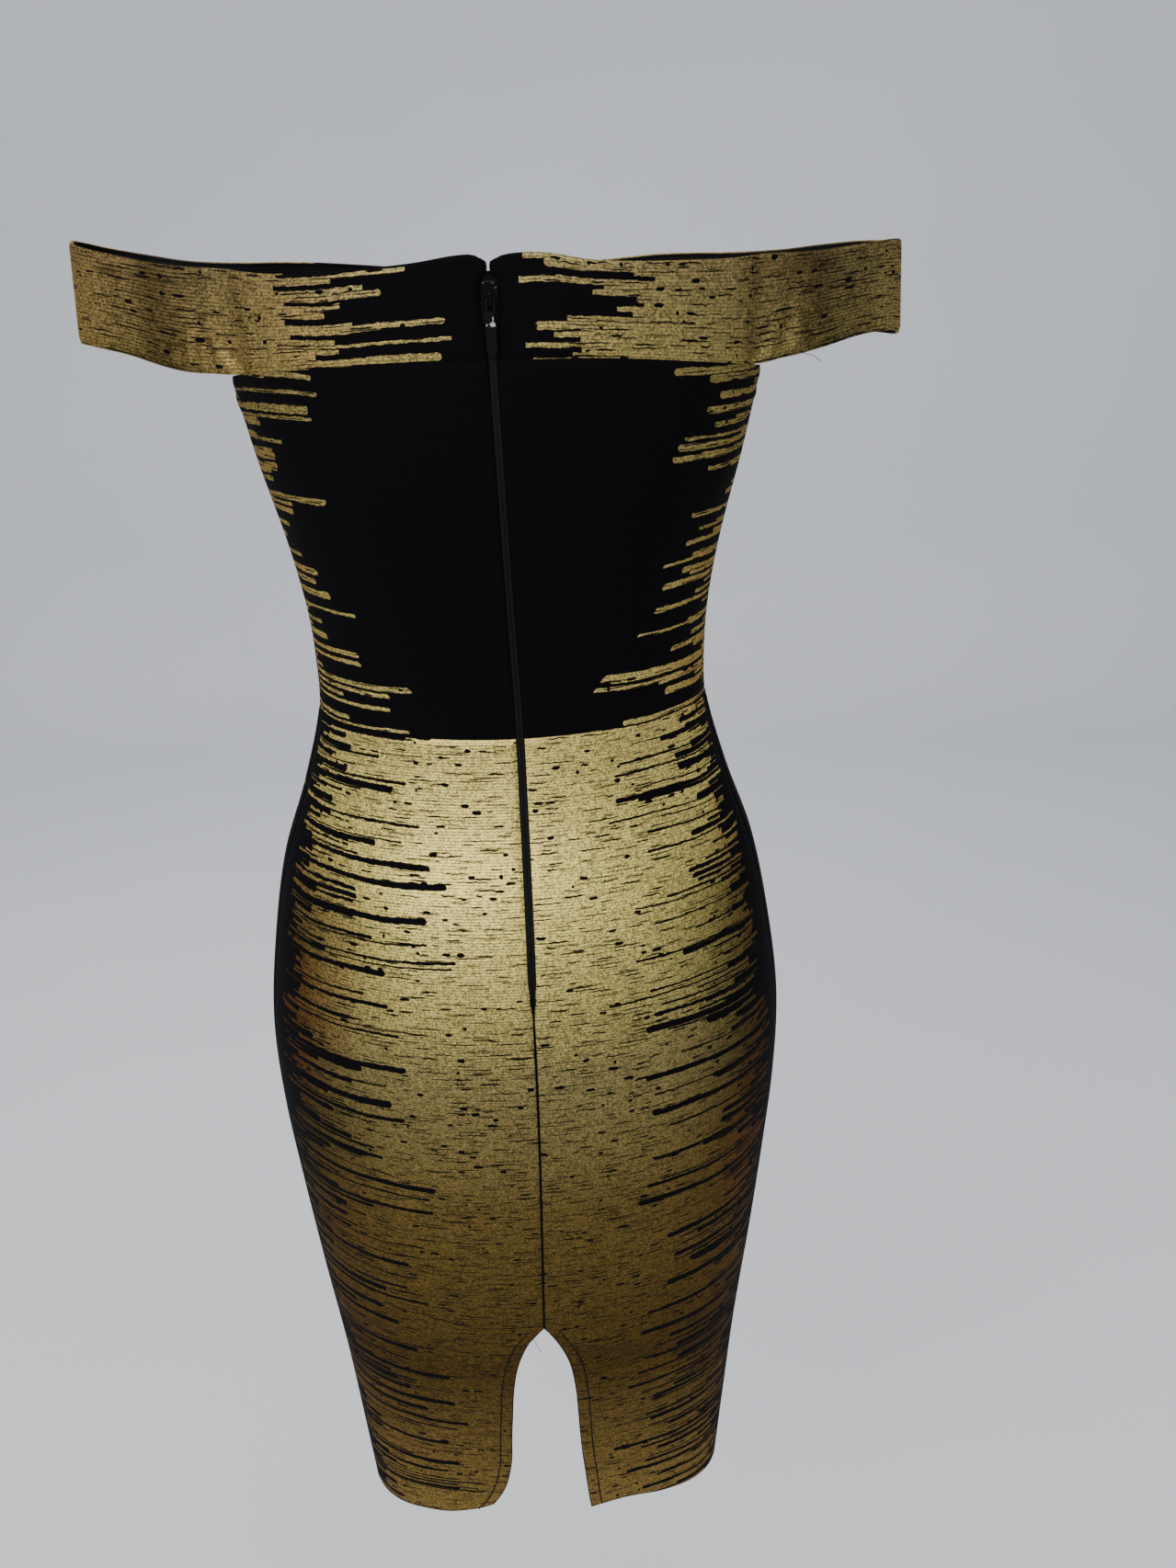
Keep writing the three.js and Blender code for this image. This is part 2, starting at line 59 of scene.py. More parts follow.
# Height, half width, depth behind, depth in front, squareness, place of the centre-back line.
SECTIONS = (
    (60, 148, 112, 96, 2.3, 6.5),
    (0, 147, 112, 103, 2.3, 6.5),
    (-32, 142, 111, 108, 2.3, 6.2),
    (-75, 133, 107, 109, 2.25, 5),
    (-120, 122, 98, 103, 2.2, 3.6),
    (-160, 115, 90, 96, 2.15, 2.2),
    (-190, 113, 86, 90, 2.1, 1),
    (-218, 114, 84, 88, 2.1, 0.3),
    (-265, 127, 93, 91, 2.1, 0.2),
    (-310, 143, 109, 95, 2.15, 0.5),
    (-365, 154, 123, 98, 2.2, 1),
    (-416, 160, 130, 100, 2.2, 1),
    (-470, 159, 127, 99, 2.2, 1.2),
    (-530, 154, 116, 95, 2.2, 1.6),
    (-600, 147, 102, 92, 2.2, 2),
    (-680, 138, 84, 90, 2.2, 2),
    (-760, 131, 66, 88, 2.25, 2),
    (-830, 125, 55, 86, 2.3, 2),
)
# Share of the half girth, then heights on the left and on the right.
TORSO_SEAM = (
    (0, -20.5, -20.5), (0.12, -21.5, -21.5), (0.26, -24.5, -26.5), (0.37, -28, -31),
    (0.5, -33, -35), (0.63, -32, -33), (0.75, -29, -29), (1, -27, -27),
)
BAND_TOP_EDGE = (
    (0, 25.5, 25.5), (0.04, 26, 26.5), (0.07, 24.5, 24), (0.13, 21.5, 21.5), (0.28, 19.5, 21),
    (0.37, 22, 22.5), (0.63, 24, 23), (0.75, 23, 23), (0.88, 19, 19), (1, 16, 16),
)
HEM = (
    (0, -799, -810), (0.04, -804, -808), (0.1, -808.5, -806.5), (0.2, -810, -811),
    (0.3, -811, -815), (0.45, -812, -818), (0.56, -811, -816), (0.75, -796, -799), (0.9, -780, -781),
    (1, -777, -777),
)
WAIST = ((0, -218, -218), (0.45, -217, -217), (1, -218, -218))
BAND_BACK_SHARES = (0, 0.02, 0.05, 0.1, 0.16, 0.22, 0.28, 0.33, 0.37)
BAND_FRONT_SHARES = (0.64, 0.69, 0.75, 0.81, 0.87, 0.93, 0.98, 1)
ARM_CENTRE = {1: 173.0, -1: 175.0}
ARM_Y = 3.0
ARM_RADIUS = 43.0
ARM_FLARE = 2.0
# Angle, 0 outward and growing towards the back, then top left, top right, seam left, seam right.
ARM_STATIONS = (
    (105, 24.5, 23.5, -25.5, -25), (75, 29, 26, -17.5, -18.5), (45, 33, 28, -13.5, -17),
    (20, 35.5, 28, -12.5, -19), (0, 37, 27.5, -12.5, -21), (-20, 36, 27.5, -13, -21),
    (-45, 33, 27.5, -15, -21), (-75, 29, 26, -21, -22.5), (-105, 25.5, 24, -28, -28),
)
# Height and half the open groove between the panel edges at the zip.
GROOVE = (
    (25.5, 3), (23.5, 1.2), (21.5, 0.7), (19, 0.6), (17, 1.5), (14, 4.2), (10, 4.6), (2, 4.6), (-6, 3.6),
    (-14, 2.7),
    (-24, 2.35), (-100, 2.3), (-335, 2.3), (-348, 2.2), (-358, 1.2), (ZIP_END, 0.1), (-378, 0.1), (-400, 0.1),
)
# Drop below the vent's apex, then each edge's distance from the centre-back line, left and right.
VENT_EDGE = (
    (0, 0.1, 0.1), (5, 4, 3.5), (16, 11, 8.5), (38, 17.5, 15.6), (64, 21, 19.2), (91, 22.6, 20.8),
    (117, 24, 22), (143, 25, 23.6), (164, 28, 25.5), (180, 32.4, 26.8), (193, 39, 28), (205, 50, 29.5),
)

# The photograph's viewpoint, in millimetres and degrees, with its frame in pixels.
VIEW_PLACE = (25.0, 784.0, 28.0)
VIEW_PITCH, VIEW_HEADING, VIEW_ROLL = 21.3, 4.95, 1.45
VIEW_FOCAL, VIEW_HEIGHT = 1500.0, 1706.0
FLOOR = -1290.0

# A rib is really 1.15 mm, which is too fine to show, so it is drawn a little coarser.
RIB_DRAWN = 1.6
# What keeps the random draws of the two sides, of the layers and of the border apart.
SIDE_KEY, SEED_KEY, BORDER_KEY = 37.3, 9.1, 51.7

Array = np.ndarray
Socket = bpy.types.NodeSocket


class Side(Enum):
    """A side of the dress, as the wearer's."""

    LEFT = 1
    RIGHT = -1

    @property
    def word(self) -> str:
        """The side in lower case."""
        return self.name.lower()


def smooth(low: float, high: float, value: Array) -> Array:
    """A soft step from 0 at low to 1 at high."""
    t = np.clip((value - low) / (high - low), 0, 1)
    return t * t * (3 - 2 * t)


def along(rows: Sequence[Sequence[float]], column: int, place: Array) -> Array:
    """Reads a column of a table on a smooth curve through its rows, as the solids do.

    Args:
        rows: The table, whose first column rises or falls.
        column: Which column to read.
        place: Where to read it; ends are held.

    Returns:
        One value for each place.
    """
    table = np.array(rows, float)
    if table[0, 0] > table[-1, 0]:
        table = table[::-1]
    key, value = table[:, 0], table[:, column]
    before = np.maximum(np.arange(len(key)) - 1, 0)
    after = np.minimum(np.arange(len(key)) + 1, len(key) - 1)
    slope = (value[after] - value[before]) / (key[after] - key[before])
    held = np.clip(np.asarray(place, float), key[0], key[-1])
    i = np.clip(np.searchsorted(key, held, side="right") - 1, 0, len(key) - 2)
    span = key[i + 1] - key[i]
    t = (held - key[i]) / span
    rise = 3 * t**2 - 2 * t**3
    lead = (t**3 - 2 * t**2 + t) * span * slope[i]
    tail = (t**3 - t**2) * span * slope[i + 1]
    return value[i] + (value[i + 1] - value[i]) * rise + lead + tail


def on_side(rows: Sequence[Sequence[float]], side: Array, place: Array) -> Array:
    """Reads a table with a left and a right column, by the sign of side."""
    return np.where(np.asarray(side) > 0, along(rows, 1, place), along(rows, 2, place))


class Form:
    """The worn shape that the bodice and skirt lie on, as rings at even heights."""

    def __init__(self, step: float = 2.0, samples: int = 320) -> None:
        """Works the rings out.

        Args:
            step: Height from one ring to the next.
            samples: Points on half a ring.
        """
        self.heights = np.arange(SECTIONS[-1][0] - MARGIN, SECTIONS[0][0] + MARGIN, step)
        self.step = step
        self.shares = np.linspace(0, 1, samples + 1)
        angle = np.linspace(0, math.pi, 4 * samples + 1)
        self.x, self.y, half = [], [], []
        for height in self.heights:
            width, back, front, squareness = (float(along(SECTIONS, c, height)) for c in (1, 2, 3, 4))
            power = 2 / squareness
            x = width * np.abs(np.sin(angle)) ** power
            depth = np.where(np.cos(angle) > 0, back, front)
            y = depth * np.sign(np.cos(angle)) * np.abs(np.cos(angle)) ** power
            run = np.concatenate(([0], np.cumsum(np.hypot(np.diff(x), np.diff(y)))))
            half.append(run[-1])
            self.x.append(np.interp(self.shares, run / run[-1], x))
            self.y.append(np.interp(self.shares, run / run[-1], y))
        self.x, self.y, self.halves = np.array(self.x), np.array(self.y), np.array(half)

    def half(self, height: Array) -> Array:
        """Half the girth at a height."""
        return np.interp(height, self.heights, self.halves)

    def back_line(self, height: Array) -> Array:
        """Where the centre-back line runs, from the middle of the back."""
        return along(SECTIONS, 5, height)

    def point(self, height: Array, length: Array) -> Array:
        """Points of the form.

        Args:
            height: Their heights.
            length: Their lengths round from the middle of the back, positive to the left.

        Returns:
            One point for each.
        """
        height, length = np.broadcast_arrays(np.asarray(height, float), np.asarray(length, float))
        row = np.clip((height - self.heights[0]) / self.step, 0, len(self.heights) - 1.001)
        share = np.abs(length) / self.half(height)
        turn = np.where(share > 1, -1.0, 1.0) * np.where(length < 0, -1.0, 1.0)
        share = np.where(share > 1, 2 - share, share)
        spot = np.clip(share, 0, 0.99999) * (len(self.shares) - 1)
        r, c = row.astype(int), spot.astype(int)
        fr, fc = row - r, spot - c

        def read(grid: Array) -> Array:
            """Reads a grid of ring values between its rows and columns.

            Args:
                grid: The values.

            Returns:
                One value for each place.
            """
            upper = grid[r, c] * (1 - fc) + grid[r, c + 1] * fc
            lower = grid[r + 1, c] * (1 - fc) + grid[r + 1, c + 1] * fc
            return upper * (1 - fr) + lower * fr

        return np.stack([turn * read(self.x), read(self.y), height], axis=-1)


FORM = Form()


class BandEdge:
    """Half of an edge of the band, from the middle of the back round the arm to the middle of the front."""

    def __init__(self, side: int, at_top: bool) -> None:
        """Lays the curve through its stations.

        Args:
            side: 1 on the left, -1 on the right.
            at_top: Whether it is the free upper edge or the seam.
        """
        rows = BAND_TOP_EDGE if at_top else TORSO_SEAM
        column = 1 if side > 0 else 2

        def torso(shares: Sequence[float]) -> list[Array]:
            """Stations that lie on the torso."""
            heights = [float(along(rows, column, share)) for share in shares]
            return [FORM.point(z, share * FORM.half(z)) for z, share in zip(heights, shares)]

        radius = ARM_RADIUS + (0 if at_top else ARM_FLARE)
        arm_column = column + (0 if at_top else 2)
        arm = []
        for station in ARM_STATIONS:
            angle = math.radians(station[0])
            x = ARM_CENTRE[side] + radius * math.cos(angle)
            arm.append(np.array([x, ARM_Y + radius * math.sin(angle), station[arm_column]]))
        stations = np.array(torso(BAND_BACK_SHARES) + arm + torso(BAND_FRONT_SHARES))
        self.line, marks = self._spline(stations)
        self.run = np.concatenate(([0], np.cumsum(np.linalg.norm(np.diff(self.line, axis=0), axis=1))))
        outer = len(BAND_BACK_SHARES) + [s[0] for s in ARM_STATIONS].index(0)
        self.outer = float(self.run[marks[outer]])
        self.whole = float(self.run[-1])

    @staticmethod
    def _spline(stations: Array, steps: int = 40) -> tuple[Array, list[int]]:
        """A centripetal Catmull-Rom line through the stations.

        Args:
            stations: The points that it passes.
            steps: Points from one station to the next.

        Returns:
            The line's points, and the index of each station on it.
        """
        ends = np.vstack([2 * stations[0] - stations[1], stations, 2 * stations[-1] - stations[-2]])
        line, marks = [stations[0]], [0]
        for i in range(len(stations) - 1):
            p = ends[i : i + 4]
            d0, d1, d2 = (max(float(np.linalg.norm(p[k + 1] - p[k])) ** 0.5, 1e-4) for k in range(3))
            m1 = ((p[1] - p[0]) / d0 - (p[2] - p[0]) / (d0 + d1) + (p[2] - p[1]) / d1) * d1
            m2 = ((p[2] - p[1]) / d1 - (p[3] - p[1]) / (d1 + d2) + (p[3] - p[2]) / d2) * d1
            for k in range(1, steps + 1):
                t = k / steps
                rise = 3 * t**2 - 2 * t**3
                lead = (t**3 - 2 * t**2 + t) * m1
                line.append(p[1] + (p[2] - p[1]) * rise + lead + (t**3 - t**2) * m2)
            marks.append(len(line) - 1)
        return np.array(line), marks

    def point(self, length: Array) -> Array:
        """Points by the length from the middle of the back."""
        return np.stack([np.interp(length, self.run, self.line[:, k]) for k in range(3)], axis=-1)


BAND_EDGES = {side: (BandEdge(side, True), BandEdge(side, False)) for side in (1, -1)}


def band_point(side: int, start: Array, end: Array, u: Array, v: Array) -> Array:
    """Points of the band between its two edges.

    Args:
        side: 1 on the left, -1 on the right.
        start: Lengths where the piece starts on the top edge and on the seam.
        end: Lengths where it ends on them.
        u: Share of the way from start to end.
        v: Share of the way from the top edge to the seam.

    Returns:
        One point for each u and v.
    """
    edges = []
    for row, edge in enumerate(BAND_EDGES[side]):
        length = start[row] + (end[row] - start[row]) * u
        own = edge.point(np.abs(length)) * np.array([side, 1, 1])
        # A length below zero runs on over the middle of the back to the other side.
        other = BAND_EDGES[-side][row].point(np.abs(length)) * np.array([-side, 1, 1])
        edges.append(np.where((length < 0)[..., None], other, own))
    return edges[0] + (edges[1] - edges[0]) * v[..., None]


@dataclass(frozen=True)
class Crease:
    """A soft trough or ridge in the cloth, in the piece's own millimetres across and up."""

    across: float
    up: float
    turn: float
    long: float
    wide: float
    height: float

    def lift(self, across: Array, up: Array) -> Array:
        """How far it lifts the cloth outward.

        Args:
            across: Places across the piece.
            up: Places up it.

        Returns:
            One lift for each place.
        """
        angle = math.radians(self.turn)
        dx, dy = across - self.across, up - self.up
        run = dx * math.cos(angle) + dy * math.sin(angle)
        off = -dx * math.sin(angle) + dy * math.cos(angle)
        return self.height * np.exp(-((run / self.long) ** 2) - (off / self.wide) ** 2)


def creases_on(side: int, rows: Sequence[Sequence[float]], start: float = 0.0) -> tuple[Crease, ...]:
    """Lays a table of creases on one side of the dress.

    Args:
        side: 1 on the left, -1 on the right.
        rows: Across, up, turn, long, wide and height of each, as in Crease.
        start: Where across is counted from.

    Returns:
        The creases.
    """
    return tuple(Crease(side * (start + across), up, side * turn, *sizes)
                 for across, up, turn, *sizes in rows)


@dataclass(frozen=True)
class Edge:
    """How the cloth turns at an edge: it rolls in by depth, over a width."""

    depth: float
    width: float


SEAM_EDGE = Edge(0.75, 2.0)
FREE_EDGE = Edge(0.8, 1.0)
ZIP_EDGE = Edge(0.7, 1.5)


def linked(name: str, data: bpy.types.ID) -> bpy.types.Object:
    """Puts a new object in the scene.

    Args:
        name: What it is called.
        data: Its mesh, curve, light or camera.

    Returns:
        The object.
    """
    new = bpy.data.objects.new(name, data)
    bpy.context.scene.collection.objects.link(new)
    return new


def made(maker: bmesh.types.BMesh, name: str, *materials: bpy.types.Material,
         rounded: bool = True) -> bpy.types.Object:
    """Turns a bmesh into an object in the scene, and frees it.

    Args:
        maker: The bmesh.
        name: What the object is called.
        *materials: Its materials in turn.
        rounded: Whether its faces are shaded smooth.

    Returns:
        The object.
    """
    mesh = bpy.data.meshes.new(name)
    maker.to_mesh(mesh)
    maker.free()
    mesh.polygons.foreach_set("use_smooth", [rounded] * len(mesh.polygons))
    for material in materials:
        mesh.materials.append(material)
    return linked(name, mesh)


# Millimetres from the end of a grid to its first lines, which an edge needs to roll.
END_LINES = (0, 0.5, 1.1, 1.9, 3.0)


def lines(length: float, step: float = GRID_STEP) -> Array:
    """Shares of a length where grid lines run: even inside, and close at both ends so that edges roll.

    Args:
        length: The length in millimetres.
        step: The even spacing.

    Returns:
        Shares from 0 to 1.
    """
    close = np.array(END_LINES) / length
    inside = np.linspace(close[-1], 1 - close[-1], max(4, round(length / step)) + 1)[1:-1]
    return np.concatenate([close, inside, 1 - close[::-1]])


def linear(code: str) -> tuple[float, float, float, float]:
    """An sRGB hex colour as linear values with full alpha."""
    values = [int(code[i : i + 2], 16) / 255 for i in (1, 3, 5)]
    return (*[v / 12.92 if v <= 0.04045 else ((v + 0.055) / 1.055) ** 2.4 for v in values], 1.0)


class Recipe:
    """A new material and its node tree."""

    def __init__(self, name: str) -> None:
        """Makes the material.

        Args:
            name: What it is called.
        """
        self.material = bpy.data.materials.new(name)
        self.material.use_nodes = True
        self.tree = self.material.node_tree

    def add(self, kind: str, *values: object, output: int | str = 0, **named: object) -> Socket:
        """Adds a node with its settings and links.

        Args:
            kind: Its type without the ShaderNode prefix, with its operation after a colon where it has one.
            *values: A value or an output socket for each of its first inputs.
            output: The output that is wanted.
            **named: An input, with _ for a space in its name, or a setting, which starts in lower case.

        Returns:
            The wanted output.
        """
        kind, _, operation = kind.partition(":")
        new = self.tree.nodes.new("ShaderNode" + kind)
        if operation:
            new.operation = operation
        for name in [n for n in named if n[0].islower()]:
            setattr(new, name, named.pop(name))
        self._feed(new, dict(enumerate(values)) | named)
        return new.outputs[output]

    def _feed(self, target: bpy.types.Node, inputs: dict) -> None:
        """Links each input of a node that is given a socket, and sets each that is given a value.

        Args:
            target: The node.
            inputs: What goes in, by the input's index or by its name with _ for a space.
        """
        for key, value in inputs.items():
            entry = target.inputs[key.replace("_", " ") if isinstance(key, str) else key]
            if isinstance(value, Socket):
                self.tree.links.new(value, entry)
            else:
                entry.default_value = value

    def rows(self, length: Socket, pitch: float, shift: float | Socket) -> tuple[Socket, Socket]:
        """Cuts a length into even rows.

        Args:
            length: The length in millimetres.
            pitch: From one row to the next.
            shift: How far the rows are moved on, in rows.

        Returns:
            The row's number, and the place in it from -0.5 to 0.5.
        """
        scaled = self.add("Math:ADD", self.add("Math:DIVIDE", length, pitch), shift)
        inside = self.add("Math:FRACT", scaled)
        return self.add("Math:FLOOR", scaled), self.add("Math:SUBTRACT", inside, 0.5)

    def finish(self, **inputs: object) -> bpy.types.Material:
        """Feeds the Principled shader.

        Args:
            **inputs: A value or a socket for each of its inputs, with _ for a space in its name.

        Returns:
            The finished material.
        """
        self._feed(self.tree.nodes["Principled BSDF"], inputs)
        return self.material


class Ground(Enum):
    """Which of the two tones a panel is on the whole, with strokes of the other one from its sides."""

    BLACK = "black"
    GOLD = "gold"


@dataclass(frozen=True)
class Strokes:
    """A layer of strokes that run in along the ribs from a panel's sides, each with a rounded end."""

    pitch: float  # spacing across the ribs
    share: float  # how many of the rows hold one
    low: float  # the shortest, as a share of the longest
    thin: float  # half thickness, as a share of the pitch
    thick: float
    seed: float
    bias: float = 2.2  # how much shorter ones outnumber longer ones
    start: float = 0.55  # thickness where one starts, as a share of the whole
    soft: float = 0.15  # half the width of its rim

    def make(self, recipe: Recipe, up: Socket, side: Socket, gap: Socket, reach: Socket) -> Socket:
        """Works the layer out.

        Args:
            recipe: The material in the making.
            up: Millimetres across the ribs.
            side: 1 on the left and -1 on the right, so that the two differ.
            gap: Millimetres from where strokes start.
            reach: The longest stroke in millimetres.

        Returns:
            1 on a stroke and 0 off it.
        """
        add = recipe.add
        row, off = recipe.rows(up, self.pitch, self.seed)
        off = add("Math:MULTIPLY", off, self.pitch)
        key = add("Math:ADD", add("Math:MULTIPLY_ADD", side, SIDE_KEY, row), self.seed * SEED_KEY)
        chance = add("TexWhiteNoise", noise_dimensions="1D", W=key, output="Color")
        draw = add("SeparateXYZ", chance).node.outputs
        longer = add("Math:POWER", draw[0], self.bias)
        length = add("Math:MULTIPLY", reach, add("Math:MULTIPLY_ADD", longer, 1 - self.low, self.low))
        thicker = (self.thick - self.thin) * self.pitch
        full = add("Math:MULTIPLY_ADD", draw[1], thicker, self.thin * self.pitch)
        swell = add("MapRange", add("Math:DIVIDE", gap, length), 0.0, 1.0, self.start)
        half = add("Math:MULTIPLY", full, swell)
        past = add("Math:MAXIMUM", add("Math:SUBTRACT", gap, add("Math:SUBTRACT", length, half)), 0.0)
        away = add("Math:SQRT", add("Math:MULTIPLY_ADD", past, past, add("Math:MULTIPLY", off, off)))
        inside = add("MapRange", add("Math:SUBTRACT", half, away), -self.soft, self.soft)
        return add("Math:MULTIPLY", inside, add("Math:LESS_THAN", draw[2], self.share))


@dataclass(frozen=True)
class Dashes:
    """A layer of short blunt dashes along the ribs, where the foil has missed the knit."""

    pitch: float
    cell: float  # spacing along the ribs
    share: float  # how many of the cells hold one
    half_tall: float  # the least is 0.6 of it, and the most twice that
    seed: float
    half_long: tuple[float, float] = (0.34, 0.1)  # what chance adds and the least, as shares of the cell
    blunt: float = 2.2  # 1 tapers from the middle, and more keeps the middle whole
    soft: float = 0.125

    def make(self, recipe: Recipe, across: Socket, up: Socket) -> Socket:
        """Works the layer out.

        Args:
            recipe: The material in the making.
            across: Millimetres along the ribs.
            up: Millimetres across the ribs.

        Returns:
            1 on a dash and 0 off it.
        """
        add = recipe.add
        row, off = recipe.rows(up, self.pitch, self.seed)
        shift = add("TexWhiteNoise", noise_dimensions="1D", W=row, output="Value")
        column, aside = recipe.rows(across, self.cell, shift)
        cell = add("CombineXYZ", row, column, self.seed)
        chance = add("TexWhiteNoise", noise_dimensions="3D", Vector=cell, output="Color")
        draw = add("SeparateXYZ", chance).node.outputs
        half_long = add("Math:MULTIPLY_ADD", draw[0], *self.half_long)
        taper = add("Math:SUBTRACT", 1.0, add("Math:DIVIDE", add("Math:ABSOLUTE", aside), half_long))
        taper = add("Math:MINIMUM", add("Math:MULTIPLY", taper, self.blunt), 1.0)
        least = 0.6 * self.half_tall
        half = add("Math:MULTIPLY", taper, add("Math:MULTIPLY_ADD", draw[1], least, least))
        away = add("Math:MULTIPLY", add("Math:ABSOLUTE", off), self.pitch)
        inside = add("MapRange", add("Math:SUBTRACT", half, away), -self.soft, self.soft)
        return add("Math:MULTIPLY", inside, add("Math:LESS_THAN", draw[2], self.share))


@dataclass(frozen=True)
class FoilKnit:
    """Viscose rib knit with a heat-pressed metallic foil: matt black cloth under a grainy gold leaf."""

    ground: Ground
    knit: str = "#09090c"
    # A copper tint mixed into the foil in patches: a painted warm reflection.
    copper_reflection: str = "#a3683a"
    # Height in millimetres and the foil's tone there, from the band down to the hem: the gold's own colour
    # with painted light and shade, a painted highlight round the seat and painted shade lower down.
    painted_light_tones: tuple[tuple[float, str], ...] = (
        (0.0, "#80724a"), (-60.0, "#91814c"), (-210.0, "#b6a462"), (-300.0, "#d0be70"),
        (-400.0, "#7e7045"), (-500.0, "#64532d"), (-650.0, "#4b3c1d"), (-815.0, "#806b3e"),
    )
    rib: float = RIB_DRAWN
    border_row: float = 2.4
    border_bias: float = 1.2  # how much shorter steps of the border outnumber longer ones
    grain: float = 0.85
    grazing: str = "#a88c50"  # the foil's reflection at a low angle stays gold
    foil_roughness: float = 0.48
    metallic: float = 0.74
    knit_roughness: float = 0.85
    # Each of these is low and high, and the value at each where it isn't 0 and 1.
    rubbed: tuple[float, ...] = (0.4, 1.0, 1.0, 0.0)  # millimetres from the zip's edge
    turned_step: tuple[float, ...] = (0.47, 0.53)  # 0.5 is where the vent's turned edge is stitched
    stitched: tuple[float, ...] = (0.02, 0.05, 0.9, 0.0)  # off that 0.5
    copper_beside: tuple[float, ...] = (75.0, 5.0)  # millimetres from where strokes start
    copper_patch: tuple[float, ...] = (0.41, 0.58, 0.0, 0.75)
    copper_below: tuple[float, ...] = (-60.0, -230.0, 0.2)  # heights
    copper_above: tuple[float, ...] = (-560.0, -440.0)
    # Painted glints: the grain's cells brighten and darken the foil's colour.
    sparkle: tuple[float, ...] = (0.1, 1.0, 0.5, 1.6)
    ridge_shade: tuple[float, float] = (0.34, 0.76)  # what a rib's crest adds, and the groove between ribs
    fray: float = 1.6  # how far a stroke's rim strays from its rib
    waver: float = 5.0  # how far a stroke wavers up and down along its length
    # Noise cells in a metre: 4 mm for fraying, 60 mm for wavering and 140 mm for a patch of copper.
    fray_scale: float = 260.0
    waver_scale: float = 16.0
    patch_scale: float = 7.0
    # Heights in the relief, with a rib's crest as 1, and what 1 is in millimetres.
    grit_height: float = 0.8
    leaf_height: float = 0.7
    turned_height: float = 2.6
    crest: float = 0.16
    border_soft: float = 0.2  # half the width of a border's rim
    gloss: float = 0.06
    strokes: tuple[Strokes, ...] = (
        Strokes(6.1, 0.76, 0.16, 0.18, 0.38, 3.0),
        Strokes(9.7, 0.66, 0.30, 0.11, 0.24, 11.0),
        Strokes(3.1, 0.80, 0.14, 0.15, 0.30, 23.0, 1.7),
    )
    dashes: tuple[Dashes, ...] = (
        Dashes(2.1, 29.0, 0.55, 0.31, 2.0),
        Dashes(2.9, 17.0, 0.34, 0.42, 5.0),
        Dashes(3.7, 8.0, 0.09, 0.95, 8.0),
    )

    def make(self) -> bpy.types.Material:
        """Builds the material, which reads the piece's "cloth" UV map and its attributes.

        Returns:
            The material.
        """
        recipe = Recipe(f"foil_printed_rib_knit_{self.ground.value}")
        add = recipe.add
        uv = add("UVMap", uv_map="cloth")
        across, up = (add("Math:MULTIPLY", part, 1 / MM) for part in add("SeparateXYZ", uv).node.outputs[:2])
        fold = self._read(recipe, "turned")
        turned = add("MapRange", fold, *self.turned_step)
        sewn = add("MapRange", add("Math:ABSOLUTE", add("Math:SUBTRACT", fold, 0.5)), *self.stitched)
        rubbed = add("MapRange", self._read(recipe, "edge"), *self.rubbed)
        kept = add("Math:SUBTRACT", 1.0, add("Math:MAXIMUM", rubbed, sewn))
        foil = add("Math:MULTIPLY", self._cover(recipe, uv, across, up), kept)

        wave = add("Math:SINE", add("Math:MULTIPLY", up, 2 * math.pi / self.rib))
        ridge = add("Math:MULTIPLY_ADD", wave, 0.5, 0.5)
        grit = add("SeparateXYZ", add("TexVoronoi", Vector=uv, Scale=1 / (self.grain * MM), output="Color"))

        # The tint holds painted light and shade by height and a painted copper reflection.
        tint = add("MixRGB", self._painted_copper_reflection(recipe, uv, up), self._painted_light_tone(recipe, up), linear(self.copper_reflection))
        # Painted glints from the grain scale the tint here, along with the rib's shade.
        shade = add("Math:MULTIPLY", add("Math:MULTIPLY_ADD", ridge, *self.ridge_shade),
                    add("MapRange", grit, *self.sparkle))
        # The piece's painted shade, at the band's bends and the hips' sides.
        shade = add("Math:MULTIPLY", shade, self._read(recipe, "shade"))
        lit = add("VectorMath:SCALE", tint, Scale=shade)
        gloss = add("Math:MULTIPLY_ADD", grit, 0.2, self.foil_roughness - 0.1)
        smoother = add("Math:MULTIPLY", foil, add("Math:SUBTRACT", self.knit_roughness, gloss))

        relief = add("Math:MULTIPLY_ADD", add("Math:MULTIPLY", grit, foil), self.grit_height, ridge)
        relief = add("Math:MULTIPLY_ADD", foil, self.leaf_height, relief)
        relief = add("Math:MULTIPLY_ADD", turned, self.turned_height, relief)
        return recipe.finish(
            Base_Color=add("MixRGB", foil, linear(self.knit), lit),
            Metallic=add("Math:MULTIPLY", foil, self.metallic),
            Roughness=add("Math:SUBTRACT", self.knit_roughness, smoother),
            Normal=add("Bump", Height=relief, Strength=0.45, Distance=self.crest * MM),
            Specular_IOR_Level=self.gloss, Specular_Tint=linear(self.grazing))

    def _painted_light_tone(self, recipe: Recipe, up: Socket) -> Socket:
        """The foil's tone by height, with painted light and shade: brightest round the seat, with painted
        shade below it.

        Args:
            recipe: The material in the making.
            up: Millimetres across the ribs.

        Returns:
            The tone.
        """
        top, low = self.painted_light_tones[0][0], self.painted_light_tones[-1][0]
        tone = recipe.add("ValToRGB", recipe.add("MapRange", up, top, low))
        stops = tone.node.color_ramp.elements
        stops[0].color, stops[1].color = linear(self.painted_light_tones[0][1]), linear(self.painted_light_tones[-1][1])
        for height, code in self.painted_light_tones[1:-1]:
            stops.new((height - top) / (low - top)).color = linear(code)
        return tone

